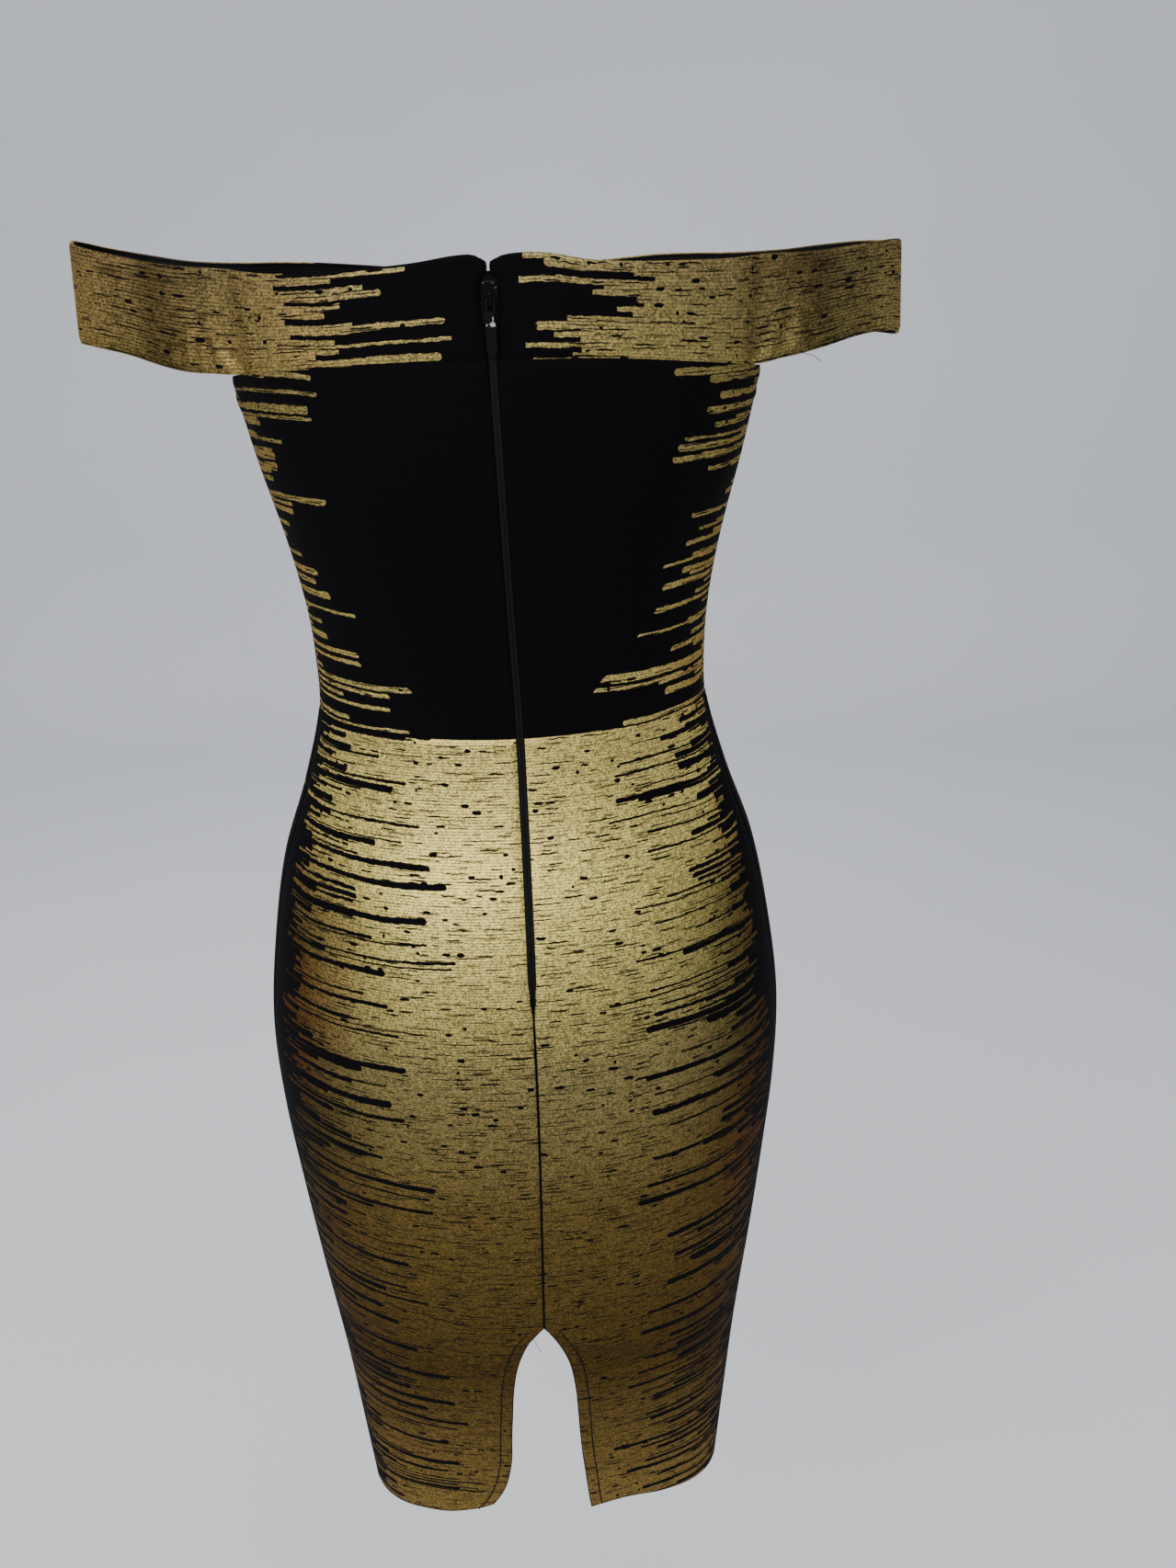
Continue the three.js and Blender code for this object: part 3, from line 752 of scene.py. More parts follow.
    def _painted_copper_reflection(self, recipe: Recipe, uv: Socket, up: Socket) -> Socket:
        """How far the foil is tinted to copper, in soft patches beside the strokes and over the hips, as a
        painted warm reflection.

        Args:
            recipe: The material in the making.
            uv: The cloth's own coordinates.
            up: Millimetres across the ribs.

        Returns:
            0 on gold and more on copper.
        """
        add = recipe.add
        patch = add("MapRange", add("TexNoise", Vector=uv, Scale=self.patch_scale, Detail=2.0, output="Fac"),
                    *self.copper_patch)
        beside = add("MapRange", self._read(recipe, "gap"), *self.copper_beside)
        below = add("MapRange", up, *self.copper_below)
        patch = add("Math:MULTIPLY", patch, add("Math:MULTIPLY", beside, below))
        return add("Math:MULTIPLY", patch, add("MapRange", up, *self.copper_above))

    @staticmethod
    def _read(recipe: Recipe, name: str) -> Socket:
        """One of the piece's own attributes."""
        return recipe.add("Attribute", attribute_name=name, output="Fac")

    def _cover(self, recipe: Recipe, uv: Socket, across: Socket, up: Socket) -> Socket:
        """Where foil covers the knit.

        Args:
            recipe: The material in the making.
            uv: The cloth's own coordinates.
            across: Millimetres along the ribs.
            up: Millimetres across the ribs.

        Returns:
            1 on foil and 0 on bare knit.
        """
        add = recipe.add
        # Rounded, as a value a hair off would draw other strokes.
        side = add("Math:ROUND", self._read(recipe, "side"))
        gap, reach = self._read(recipe, "gap"), self._read(recipe, "reach")
        ragged = add("TexNoise", Vector=uv, Scale=self.fray_scale, Detail=2.0, output="Fac")
        wavy = add("TexNoise", Vector=uv, Scale=self.waver_scale, Detail=1.0, output="Fac")
        frayed = add("Math:ADD", up, add("Math:MULTIPLY_ADD", ragged, self.fray, -self.fray / 2))
        bent = add("Math:ADD", frayed, add("Math:MULTIPLY_ADD", wavy, self.waver, -self.waver / 2))
        # Where strokes join into a whole area, its border steps in and out from rib to rib.
        row = add("Math:FLOOR", add("Math:DIVIDE", bent, self.border_row))
        key = add("Math:MULTIPLY_ADD", side, BORDER_KEY, row)
        step = add("TexWhiteNoise", noise_dimensions="1D", W=key, output="Value")
        inner = add("Math:MULTIPLY", add("Math:POWER", step, self.border_bias), self._read(recipe, "border"))
        marks = add("MapRange", add("Math:SUBTRACT", inner, gap), -self.border_soft, self.border_soft)
        for layer in self.strokes:
            marks = add("Math:MAXIMUM", marks, layer.make(recipe, bent, side, gap, reach))
        foil = marks if self.ground is Ground.BLACK else add("Math:SUBTRACT", 1.0, marks)
        for layer in self.dashes:
            foil = add("Math:MULTIPLY", foil, add("Math:SUBTRACT", 1.0, layer.make(recipe, across, frayed)))
        return foil


BLACK_STROKES = (
    Strokes(7.7, 0.66, 0.28, 0.15, 0.27, 31.0, 1.3),
    Strokes(12.3, 0.60, 0.30, 0.10, 0.17, 42.0, 1.2),
    Strokes(4.1, 0.60, 0.06, 0.18, 0.32, 57.0, 2.0),
)


@dataclass(frozen=True)
class PlainKnit:
    """The knit's unprinted inner face: matt black ribs."""

    name: str = "inner_rib_knit"
    colour: str = "#0b0b0e"
    rib: float = RIB_DRAWN

    def make(self) -> bpy.types.Material:
        """Builds the material.

        Returns:
            The material.
        """
        recipe = Recipe(self.name)
        add = recipe.add
        up = add("Math:MULTIPLY", add("SeparateXYZ", add("UVMap", uv_map="cloth")).node.outputs[1], 1 / MM)
        wave = add("Math:SINE", add("Math:MULTIPLY", up, 2 * math.pi / self.rib))
        shade = add("Math:MULTIPLY_ADD", wave, 0.2, 0.8)
        return recipe.finish(
            Base_Color=add("VectorMath:SCALE", linear(self.colour)[:3], Scale=shade),
            Normal=add("Bump", Height=wave, Strength=0.5, Distance=0.2 * MM),
            Roughness=0.85, Specular_IOR_Level=0.15)


@dataclass(frozen=True)
class Woven:
    """Polyester zip tape or thread: a tight twill, matt with a faint gleam."""

    name: str
    colour: str
    thread: float = 0.5
    roughness: float = 0.75

    def make(self) -> bpy.types.Material:
        """Builds the material.

        Returns:
            The material.
        """
        recipe = Recipe(self.name)
        add = recipe.add
        weave = add("TexWave", bands_direction="DIAGONAL", Vector=add("TexCoord", output="Object"),
                    Scale=0.1 / (self.thread * MM), output="Fac")
        shade = add("Math:MULTIPLY_ADD", weave, 0.4, 0.7)
        return recipe.finish(
            Base_Color=add("VectorMath:SCALE", linear(self.colour)[:3], Scale=shade),
            Normal=add("Bump", Height=weave, Strength=0.4, Distance=0.1 * MM),
            Roughness=self.roughness, Specular_IOR_Level=0.15)


@dataclass(frozen=True)
class LacqueredZinc:
    """Die-cast zinc under a coat of lacquer, rubbed a little in noisy patches, with a painted highlight: a
    band of bare metal at one height.
    """

    name: str
    lacquer: str
    bare: str
    highlight_band_at: float  # height at rest of the painted highlight, where bare metal shows most
    highlight_band_over: float  # how far from there the painted highlight reaches
    metallic: float = 0.5
    rub_scale: float = 420.0  # noise cells in a metre, so about 2.4 mm each

    def make(self) -> bpy.types.Material:
        """Builds the material.

        Returns:
            The material.
        """
        recipe = Recipe(self.name)
        add = recipe.add
        place = add("TexCoord", output="Object")
        rub = add("TexNoise", Vector=place, Scale=self.rub_scale, Detail=4.0, output="Fac")
        height = add("Math:DIVIDE", add("SeparateXYZ", place).node.outputs[2], MM)
        near = add("Math:ABSOLUTE", add("Math:SUBTRACT", height, self.highlight_band_at))
        # A painted highlight: bare metal in a band round one height, on top of the noisy wear.
        highlight_band = add("MapRange", near, self.highlight_band_over, 0.0, -0.2)
        share = add("MapRange", add("Math:MULTIPLY_ADD", highlight_band, 0.22, rub), 0.62, 0.70)
        return recipe.finish(
            Base_Color=add("MixRGB", share, linear(self.lacquer), linear(self.bare)),
            Roughness=add("Math:MULTIPLY_ADD", rub, 0.3, 0.25),
            Metallic=add("Math:MULTIPLY", share, self.metallic), Specular_IOR_Level=0.06)


@dataclass(frozen=True)
class StudioPlaster:
    """The studio's painted plaster: matt, with faint clouds."""

    colour: str = "#dcdee2"
    cloud_scale: float = 2.0  # clouds half a metre across

    def make(self) -> bpy.types.Material:
        """Builds the material.

        Returns:
            The material.
        """
        recipe = Recipe("pale_studio_plaster")
        place = recipe.add("TexCoord", output="Object")
        cloud = recipe.add("TexNoise", Vector=place, Scale=self.cloud_scale, Detail=2.0, output="Fac")
        shade = recipe.add("Math:MULTIPLY_ADD", cloud, 0.06, 0.97)
        colour = recipe.add("VectorMath:SCALE", linear(self.colour)[:3], Scale=shade)
        return recipe.finish(Base_Color=colour, Roughness=0.9)


@dataclass
class Finishes:
    """The dress's materials, made once."""

    black: bpy.types.Material = field(
        default_factory=lambda: FoilKnit(Ground.BLACK, strokes=BLACK_STROKES).make())
    gold: bpy.types.Material = field(default_factory=lambda: FoilKnit(Ground.GOLD).make())
    inner: bpy.types.Material = field(default_factory=lambda: PlainKnit().make())
    tape: bpy.types.Material = field(default_factory=lambda: Woven("zip_tape_twill", "#050506").make())
    thread: bpy.types.Material = field(
        default_factory=lambda: Woven("sewing_thread", "#100e0b", 0.3, 0.6).make())
    slider: bpy.types.Material = field(default_factory=lambda: LacqueredZinc(
        "black_lacquered_zinc", "#040405", "#9a9a9e", highlight_band_at=13.5, highlight_band_over=1.0).make())
    pull: bpy.types.Material = field(default_factory=lambda: LacqueredZinc(
        "grey_zinc_worn_with_painted_highlight", "#0c0c0e", "#a4a4a8", highlight_band_at=-4.5, highlight_band_over=2.6).make())


FAR = 99.0  # millimetres to an edge that a place has nothing to do with
ONE_SIDED = 20.0  # a piece whose middle is further than this from the middle plane is a side's own


@dataclass
class Print:
    """Where a sheet's print runs, in millimetres at each place of its grid."""

    gap: Array  # from where strokes start, inward
    reach: Array  # the longest stroke
    border: float  # how far the whole area beside them steps in and out
    edge: Array | None = None  # from the centre-back edge
    turned: Array | None = None  # 1 at a turned edge, down to 0.5 where it is stitched
    shade: Array | None = None  # painted shade: the foil is darker in the band's bends at the arms and at the sides of the hips

    def attributes(self, shape: tuple[int, int]) -> dict[str, Array]:
        """The values that the foil's material reads.

        Args:
            shape: The grid's rows and columns.

        Returns:
            Each attribute's values by its name.
        """
        edge = np.full(shape, FAR) if self.edge is None else self.edge
        turned = np.zeros(shape) if self.turned is None else self.turned
        shade = np.ones(shape) if self.shade is None else self.shade
        return {"gap": self.gap, "reach": self.reach, "border": np.full(shape, self.border), "edge": edge,
                "turned": turned, "shade": shade}


@dataclass
class Sheet:
    """One cut piece of cloth as a grid of places, which it turns into a thin shell."""

    name: str
    slot: str
    points: Array
    across: Array
    up: Array
    ground: Ground
    print_at: Print
    edges: tuple[Edge, Edge, Edge, Edge]  # first and last column, then first and last row
    creases: tuple[Crease, ...] = ()

    def _normals(self) -> Array:
        """Finds which way is out.

        Returns:
            Outward directions at the grid's points.
        """
        run = np.gradient(self.points, axis=1)
        fall = np.gradient(self.points, axis=0)
        out = np.cross(run, fall)
        out /= np.maximum(np.linalg.norm(out, axis=-1, keepdims=True), 1e-9)
        centre = self.points.reshape(-1, 3).mean(axis=0) * np.array([0, 0, 1])
        towards = (out * (self.points - centre) * np.array([1, 1, 0])).sum()
        return out if towards > 0 else -out

    def _sides(self) -> Array:
        """Tells the sides apart; a back piece is all on one, though it may cross the middle.

        Returns:
            1 on the left and -1 on the right, at each of the grid's points.
        """
        x = self.points[..., 0]
        middle = float(x.mean())
        return np.full(x.shape, np.sign(middle)) if abs(middle) > ONE_SIDED else np.sign(x)

    def _edge_roll(self) -> Array:
        """Rolls the cloth in near its edges.

        Returns:
            How far in, at each of the grid's points.
        """
        def run(points: Array, axis: int) -> Array:
            """Length along an axis of the grid.

            Args:
                points: The grid's points.
                axis: 1 across it and 0 down it.

            Returns:
                The length from its start to each point.
            """
            steps = np.linalg.norm(np.diff(points, axis=axis), axis=-1)
            start = np.zeros_like(np.take(steps, [0], axis=axis))
            return np.concatenate([start, np.cumsum(steps, axis=axis)], axis=axis)

        across, down = run(self.points, 1), run(self.points, 0)
        gaps = (across, across[:, -1:] - across, down, down[-1:] - down)
        rolls = [e.depth * np.exp(-((gap / e.width) ** 2)) for e, gap in zip(self.edges, gaps)]
        return np.maximum.reduce(rolls)

    def build(self, finishes: Finishes) -> bpy.types.Object:
        """Args:
            finishes: The dress's materials.

        Returns:
            The finished object.
        """
        normals = self._normals()
        lift = sum((c.lift(self.across, self.up) for c in self.creases), np.zeros(self.across.shape))
        placed = (self.points + normals * (lift - self._edge_roll())[..., None]) * MM
        rows, columns = self.across.shape
        maker = bmesh.new()
        bmesh.ops.create_grid(maker, x_segments=columns - 1, y_segments=rows - 1, size=1)
        order = np.array([(round((v.co.y + 1) / 2 * (rows - 1)), round((v.co.x + 1) / 2 * (columns - 1)))
                          for v in maker.verts])
        for vertex, (r, c) in zip(maker.verts, order):
            vertex.co = placed[r, c]
        maker.normal_update()
        maker.faces.ensure_lookup_table()
        maker.verts.index_update()
        middle = maker.faces[len(maker.faces) // 2]
        r, c = order[middle.verts[0].index]
        if middle.normal.dot(Vector(normals[r, c])) < 0:
            bmesh.ops.reverse_faces(maker, faces=maker.faces[:])
        outer = finishes.gold if self.ground is Ground.GOLD else finishes.black
        piece = made(maker, self.name, outer, finishes.inner)
        mesh = piece.data

        corner = np.empty(len(mesh.loops), np.int32)
        mesh.loops.foreach_get("vertex_index", corner)
        r, c = order[:, 0], order[:, 1]
        places = np.stack([self.across[r, c], self.up[r, c]], axis=-1) * MM
        mesh.uv_layers.new(name="cloth").data.foreach_set("uv", places[corner].ravel())
        stored_values = {"side": self._sides()} | self.print_at.attributes(self.across.shape)
        for name, values in stored_values.items():
            stored = mesh.attributes.new(name, "FLOAT", "POINT")
            stored.data.foreach_set("value", values[r, c].astype(np.float32))

        shell = piece.modifiers.new("cloth_wall", "SOLIDIFY")
        shell.thickness = SHELL * MM
        shell.offset = -1
        shell.material_offset = 1
        self._declare(piece)
        return piece

    def _declare(self, piece: bpy.types.Object) -> None:
        """Hangs the piece on the dress's frame and hides the solid that it stands for.

        Args:
            piece: The finished piece.
        """
        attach(piece, "dress")
        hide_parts(self.name.removeprefix("cloth_"))


def grid(u: Array, v: Array) -> tuple[Array, Array]:
    """Two arrays with u along the columns and v down the rows."""
    return np.meshgrid(u, v)


@dataclass
class Bodice:
    """The bodice: two backs with the zip between them, and the front."""

    height: float = 195.0
    back_width: float = 170.0  # roughly, to space the grid
    front_width: float = 430.0
    stroke_reach: float = 104.0  # how far foil strokes come in from a side seam
    bare_side: float = 4.0  # black between a side seam and the strokes
    border: float = 6.0
    longer_above: tuple[float, float] = (-120.0, -20.0)  # heights over which strokes grow
    longer_below: tuple[float, float] = (-150.0, -215.0)
    reach_shares: tuple[float, float, float] = (0.62, 0.36, 0.34)  # everywhere, then more above and below
    wider: tuple[float, float] = (1.06, 1.12)  # on the left and on the right

    def _foil(self, height: Array, length: Array, seam: Array) -> Print:
        """Foil strokes at the side seams and none in the middle.

        Args:
            height: Heights on the grid.
            length: Lengths from the middle of the back.
            seam: The side seam's length at each height.

        Returns:
            The print.
        """
        top = smooth(*self.longer_above, height)
        waist = smooth(*self.longer_below, height)
        gap = np.abs(np.abs(length) - seam) + self.bare_side
        least, more_above, more_below = self.reach_shares
        wider = np.where(length < 0, self.wider[1], self.wider[0])
        reach = self.stroke_reach * (least + more_above * top + more_below * waist) * wider
        return Print(gap, reach, self.border)

    def back(self, side: Side) -> Sheet:
        """One back, from the zip to the side seam.

        Args:
            side: Which one.

        Returns:
            The sheet.
        """
        s = side.value
        u, v = grid(lines(self.back_width), lines(self.height))
        share = SIDE_SEAM[s] * u
        top, low = on_side(TORSO_SEAM, s, share), on_side(WAIST, s, share)
        height = top + (low - top) * v
        half = FORM.half(height)
        near = FORM.back_line(height) + s * along(GROOVE, 1, height)
        length = near + (s * SIDE_SEAM[s] * half - near) * u
        return Sheet(f"cloth_bodice_back_{side.word}", "black_knit", FORM.point(height, length), length,
                     height, Ground.BLACK, self._foil(height, length, SIDE_SEAM[s] * half),
                     (ZIP_EDGE, SEAM_EDGE, SEAM_EDGE, SEAM_EDGE), self._back_creases(s))

    @staticmethod
    def _back_creases(s: int) -> tuple[Crease, ...]:
        """Pulls under the arm and small puckers over the waist seam.

        Args:
            s: 1 on the left, -1 on the right.

        Returns:
            The creases.
        """
        pulls = ((178, -37, 34, 16, 3.0, -1.7), (172, -45, 26, 22, 3.2, 1.1), (168, -54, 22, 24, 4.0, -1.4),
                 (158, -40, 20, 14, 3.0, 0.8))
        puckers = ((36, -209, 84, 8, 4.5, 0.35), (74, -207, 96, 9, 5.0, -0.4), (112, -209, 88, 8, 5.0, 0.35))
        return creases_on(s, pulls + puckers)

    def front(self) -> Sheet:
        """The front, from side seam to side seam.

        Returns:
            The sheet.
        """
        creases = (Crease(262, -48, 152, 18, 4, -0.8), Crease(-262, -50, 28, 18, 4, -0.8),
                   Crease(300, -206, 88, 9, 5, 0.35), Crease(-330, -207, 95, 9, 5, -0.35))
        return front_sheet("bodice_front", Ground.BLACK, TORSO_SEAM, WAIST, lines(self.front_width),
                           lines(self.height), self._foil, creases)


def front_sheet(name: str, ground: Ground, top_rows: Sequence, low_rows: Sequence, u: Array, v: Array,
                foil: Callable[[Array, Array, Array], Print], creases: tuple[Crease, ...],
                last: Edge = SEAM_EDGE) -> Sheet:
    """A front panel, from the left side seam over the middle of the front to the right one.

    Args:
        name: The node it stands for.
        ground: The tone that it is on the whole.
        top_rows: Table of its upper edge.
        low_rows: Table of its lower edge.
        u: Column lines as shares.
        v: Row lines as shares.
        foil: The print by height, length and the side seam's length.
        creases: Its creases.
        last: How its lower edge turns.

    Returns:
        The sheet.
    """
    u, v = grid(u, v)
    side = np.where(u < 0.5, 1, -1)
    seam_share = np.where(side > 0, SIDE_SEAM[1], SIDE_SEAM[-1])
    share = seam_share + (1 - seam_share) * (1 - np.abs(1 - 2 * u))
    top, low = on_side(top_rows, side, share), on_side(low_rows, side, share)
    height = top + (low - top) * v
    half = FORM.half(height)
    length = side * share * half
    # On the right the length runs on past the middle of the front, so that the print doesn't break there.
    across = np.where(side > 0, length, 2 * half + length)
    slot = "foil_knit" if ground is Ground.GOLD else "black_knit"
    return Sheet("cloth_" + name, slot, FORM.point(height, length), across, height, ground,
                 foil(height, length, seam_share * half), (SEAM_EDGE, SEAM_EDGE, SEAM_EDGE, last), creases)


@dataclass
class Skirt:
    """The skirt: two backs with the centre-back seam and the vent, and the front."""

    height: float = 597.0
    dark_reach: float = 118.0  # how far black strokes come in from a side seam
    dark_side: float = 18.0  # black all over beside a side seam
    turned: float = 8.0  # the vent's turned edge
    back_width: float = 190.0  # roughly, to space the grid
    front_width: float = 500.0
    border: float = 24.0
    hips_from: tuple[float, float] = (-250.0, -330.0)  # heights over which the hips' look comes and goes
    hips_to: tuple[float, float] = (-600.0, -430.0)
    dark_shares: tuple[float, float] = (0.25, 0.9)  # of dark_side: everywhere, and more at the hips
    reach_shares: tuple[float, float] = (0.86, 0.2)  # of dark_reach, likewise
    painted_shade_loss: float = 0.72  # painted shade: what the foil loses at the sides of the hips
    painted_shade_over: tuple[float, float] = (105.0, 12.0)  # millimetres from where strokes start
    open_above_end: float = 9.0  # how far above the zip's end its edge still shows foil
    upper_share: float = 0.65  # the grid's share above the vent
    vent_rows: int = 72

    def _foil(self, height: Array, length: Array, seam: Array) -> Print:
        """Full foil in the middle, black strokes from the side seams, and painted shade at the sides of the
        hips.

        Args:
            height: Heights on the grid.
            length: Lengths from the middle of the back.
            seam: The side seam's length at each height.

        Returns:
            The print.
        """
        hips = smooth(*self.hips_from, height) * smooth(*self.hips_to, height)
        dark, reach = (least + more * hips for least, more in (self.dark_shares, self.reach_shares))
        gap = np.abs(np.abs(length) - seam) - self.dark_side * dark
        # Painted shade at the sides of the hips.
        shade = 1 - self.painted_shade_loss * smooth(*self.painted_shade_over, gap) * hips
        return Print(gap, self.dark_reach * reach, self.border, shade=shade)

    def back(self, side: Side) -> Sheet:
        """One back, from the centre back to the side seam, with its half of the vent.

        Args:
            side: Which one.

        Returns:
            The sheet.
        """
        s = side.value
        top_share = self.upper_share
        upper = lines(WAIST[0][1] - VENT_APEX)
        below = np.linspace(0, 1, self.vent_rows)[1:] ** 1.5  # rows crowd at the apex
        v_lines = np.concatenate([upper * top_share, top_share + (1 - top_share) * below])
        u, v = grid(lines(self.back_width), v_lines)
        share = SIDE_SEAM[s] * u
        waist, hem = on_side(WAIST, s, share), on_side(HEM, s, share)
        height = np.where(v <= top_share, waist + (VENT_APEX - waist) * v / top_share,
                          VENT_APEX + (hem - VENT_APEX) * (v - top_share) / (1 - top_share))
        half = FORM.half(height)
        drop = VENT_APEX - height
        edge = np.where(drop > 0, on_side(VENT_EDGE, s, np.maximum(drop, 0)), along(GROOVE, 1, height))
        near = FORM.back_line(height) + s * edge
        length = near + (s * SIDE_SEAM[s] * half - near) * u
        drawn = self._foil(height, length, SIDE_SEAM[s] * half)
        drawn.turned = smooth(-1, 2, drop) * np.clip(1 - np.abs(length - near) / (2 * self.turned), 0, 1)
        drawn.edge = np.where(height > ZIP_END + self.open_above_end, FAR, np.abs(length - near))
        return Sheet(f"cloth_skirt_back_{side.word}", "foil_knit", FORM.point(height, length), length, height,
                     Ground.GOLD, drawn, (ZIP_EDGE, SEAM_EDGE, SEAM_EDGE, FREE_EDGE), self._back_creases(s))

    @staticmethod
    def _back_creases(s: int) -> tuple[Crease, ...]:
        """Puckers at the waist seam and the zip's end, the drag over the vent, and the hem's waves.

        Args:
            s: 1 on the left, -1 on the right.

        Returns:
            The creases.
        """
        both = ((40, -230, 80, 9, 5, 0.35), (88, -229, 100, 10, 6, -0.4), (128, -231, 86, 9, 5, 0.35),
                (6, -372, 70, 12, 3.5, 0.5), (10, -388, 60, 14, 4, -0.35), (110, -792, 86, 22, 12, 0.9),
                (62, -786, 92, 20, 9, -0.7))
        drag = ((30, -622, -24, 30, 9, 2.6), (48, -646, -30, 34, 9, -1.8)) if s < 0 else (
            (26, -628, -50, 20, 8, 1.3), (40, -790, 60, 16, 9, -1.4))
        return creases_on(s, both + drag)

    def front(self) -> Sheet:
        """The front, from side seam to side seam.

        Returns:
            The sheet.
        """
        creases = (Crease(300, -232, 85, 10, 6, 0.35), Crease(380, -231, 97, 10, 6, -0.35),
                   Crease(330, -790, 88, 22, 12, 0.9), Crease(410, -788, 92, 20, 10, -0.7))
        return front_sheet("skirt_front", Ground.GOLD, WAIST, HEM, lines(self.front_width),
                           lines(self.height), self._foil, creases, FREE_EDGE)


@dataclass
class Band:
    """The band round the chest and both upper arms."""

    height: float = 46.0
    bare: float = 116.0  # where the gold is whole, from the middle of the back and of the front
    stroke_reach: float = 104.0
    bend: float = 192.0  # where it bends from the back to the arm, and where its painted shade is deepest
    bend_over: float = 33.0
    lit: float = 1.14  # the foil's painted brightness away from the bend
    painted_shade_loss: float = 0.92  # painted shade: what it loses in the bend
    wider: tuple[float, float, float] = (0.0, 14.0, 6.0)  # further in on the left, the right and in front
    border: float = 96.0
    folds_at: float = 168.0
    folds_past_arm: float = 62.0  # in front
    back_width: float = 265.0  # roughly, to space the grid
    front_width: float = 530.0
    fine: float = 1.6  # the grid's rows
    corner: tuple[float, float, float] = (1.8, 2.6, 2.4)  # at the zip: how far it rounds, along, and down

    def _foil(self, run: Array, middle: float, wider: float) -> Print:
        """Gold over the arms, with painted shade where it bends in, and strokes in to a black back and front.

        Args:
            run: Lengths along the band from the middle of the back.
            middle: Where the middle of the front is.
            wider: How much further the gold comes in.

        Returns:
            The print.
        """
        place = np.minimum(run, np.abs(middle - run))
        gap = self.bare - wider - place
        bend_shade = np.exp(-(((place - self.bend) / self.bend_over) ** 2))
        reach = np.full(run.shape, self.stroke_reach)
        return Print(gap, reach, self.border, shade=self.lit - self.painted_shade_loss * bend_shade)

    def back(self, side: Side) -> Sheet:
        """One back, from the zip to the outer arm.

        Args:
            side: Which one.

        Returns:
            The sheet.
        """
        s = side.value
        top, seam = BAND_EDGES[s]
        u, v = grid(lines(self.back_width), lines(self.height, self.fine))
        height = BAND_TOP + (TORSO_SEAM[0][1] - BAND_TOP) * v
        near = along(GROOVE, 1, height) + s * FORM.back_line(height)
        points = band_point(s, (near, near), (top.outer, seam.outer), u, v)
        run = near + ((top.outer + seam.outer) / 2 - near) * u
        drop, along_it, down = self.corner
        points[..., 2] -= drop * np.exp(-(((run - near) / along_it) ** 2) - (self.height * v / down) ** 2)
        return Sheet(f"cloth_band_back_{side.word}", "foil_knit", points, s * run, -self.height * v,
                     Ground.BLACK, self._foil(run, top.whole, self.wider[0 if s > 0 else 1]),
                     (ZIP_EDGE, SEAM_EDGE, FREE_EDGE, SEAM_EDGE), self._armpit(s, self.folds_at))

    @staticmethod
    def _armpit(s: int, run_at: float) -> tuple[Crease, ...]:
        """The small folds where the band bends from the back to the arm.

        Args:
            s: 1 on the left, -1 on the right.
            run_at: Where they lie along the band.

        Returns:
            The creases.
        """
        rows = ((-16, -41, 52, 12, 2.6, -2.0), (-8, -38, 64, 15, 2.4, 1.3), (0, -37, 78, 16, 2.6, -2.3),
                (8, -39, 96, 12, 2.4, 1.3), (15, -38, 112, 11, 2.6, -1.7), (4, -14, 88, 13, 6.0, -1.4))
        return creases_on(s, rows, run_at)

    def front(self) -> Sheet:
        """The front, from outer arm to outer arm.

        Returns:
            The sheet.
        """
        u, v = grid(lines(self.front_width), lines(self.height, self.fine))
        share = 1 - np.abs(1 - 2 * u)
        halves = []
        for s in (1, -1):
            top, seam = BAND_EDGES[s]
            halves.append(band_point(s, (top.outer, seam.outer), (top.whole, seam.whole), share, v))
        left = u < 0.5
        points = np.where(left[..., None], halves[0], halves[1])
        top, seam = BAND_EDGES[1]
        run = top.outer + (top.whole - top.outer) * share
        across = np.where(left, run, 2 * top.whole - run)
        folds_at = top.outer + self.folds_past_arm
        return Sheet("cloth_band_front", "foil_knit", points, across, -self.height * v,
                     Ground.BLACK, self._foil(run, top.whole, self.wider[2]),
                     (SEAM_EDGE, SEAM_EDGE, FREE_EDGE, SEAM_EDGE),
                     self._armpit(1, folds_at) + self._armpit(1, 2 * top.whole - folds_at))


@dataclass
class Sewing:
    """The topstitching round the vent."""

    inset: float = 8.0
    stitch: float = 2.3
    gap: float = 0.9
    thick: float = 0.32
    proud: float = 0.3  # how far a stitch stands off the cloth, as a share of its thickness
    under_apex: float = 3.0
    over_hem: float = 5.0
    samples: int = 600  # points on the line that they follow

    def vent(self, side: Side, finishes: Finishes) -> bpy.types.Object:
        """A line of stitches beside the vent's edge.

        Args:
            side: Which edge.
            finishes: The dress's materials.

        Returns:
            The finished object.
        """
        s = side.value
        low = float(on_side(HEM, s, 0.1)) + self.over_hem
        heights = np.linspace(VENT_APEX - self.under_apex, low, self.samples)
        edge = on_side(VENT_EDGE, s, VENT_APEX - heights)
        path = FORM.point(heights, FORM.back_line(heights) + s * (edge + self.inset))
        run = np.concatenate(([0], np.cumsum(np.linalg.norm(np.diff(path, axis=0), axis=1))))
        maker = bmesh.new()
        for start in np.arange(0, run[-1] - self.stitch, self.stitch + self.gap):
            a, b = (np.array([np.interp(d, run, path[:, k]) for k in range(3)])
                    for d in (start, start + self.stitch))
            along_it = Vector(b - a).normalized()
            out = Vector((a[0], a[1], 0)).normalized()
            aside = along_it.cross(out).normalized()
            up = aside.cross(along_it)
            turn = Matrix((along_it, aside, up)).transposed().to_4x4()
            place = Matrix.Translation(Vector((a + b) / 2) * MM + up * self.thick * self.proud * MM)
            size = Matrix.Diagonal((self.stitch / 2 * MM, self.thick * MM, self.thick * MM, 1))
            bmesh.ops.create_uvsphere(maker, u_segments=6, v_segments=4, radius=1, matrix=place @ turn @ size)
        piece = made(maker, f"vent_stitches_{side.word}", finishes.thread, rounded=False)
        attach(piece, "dress")
        return piece


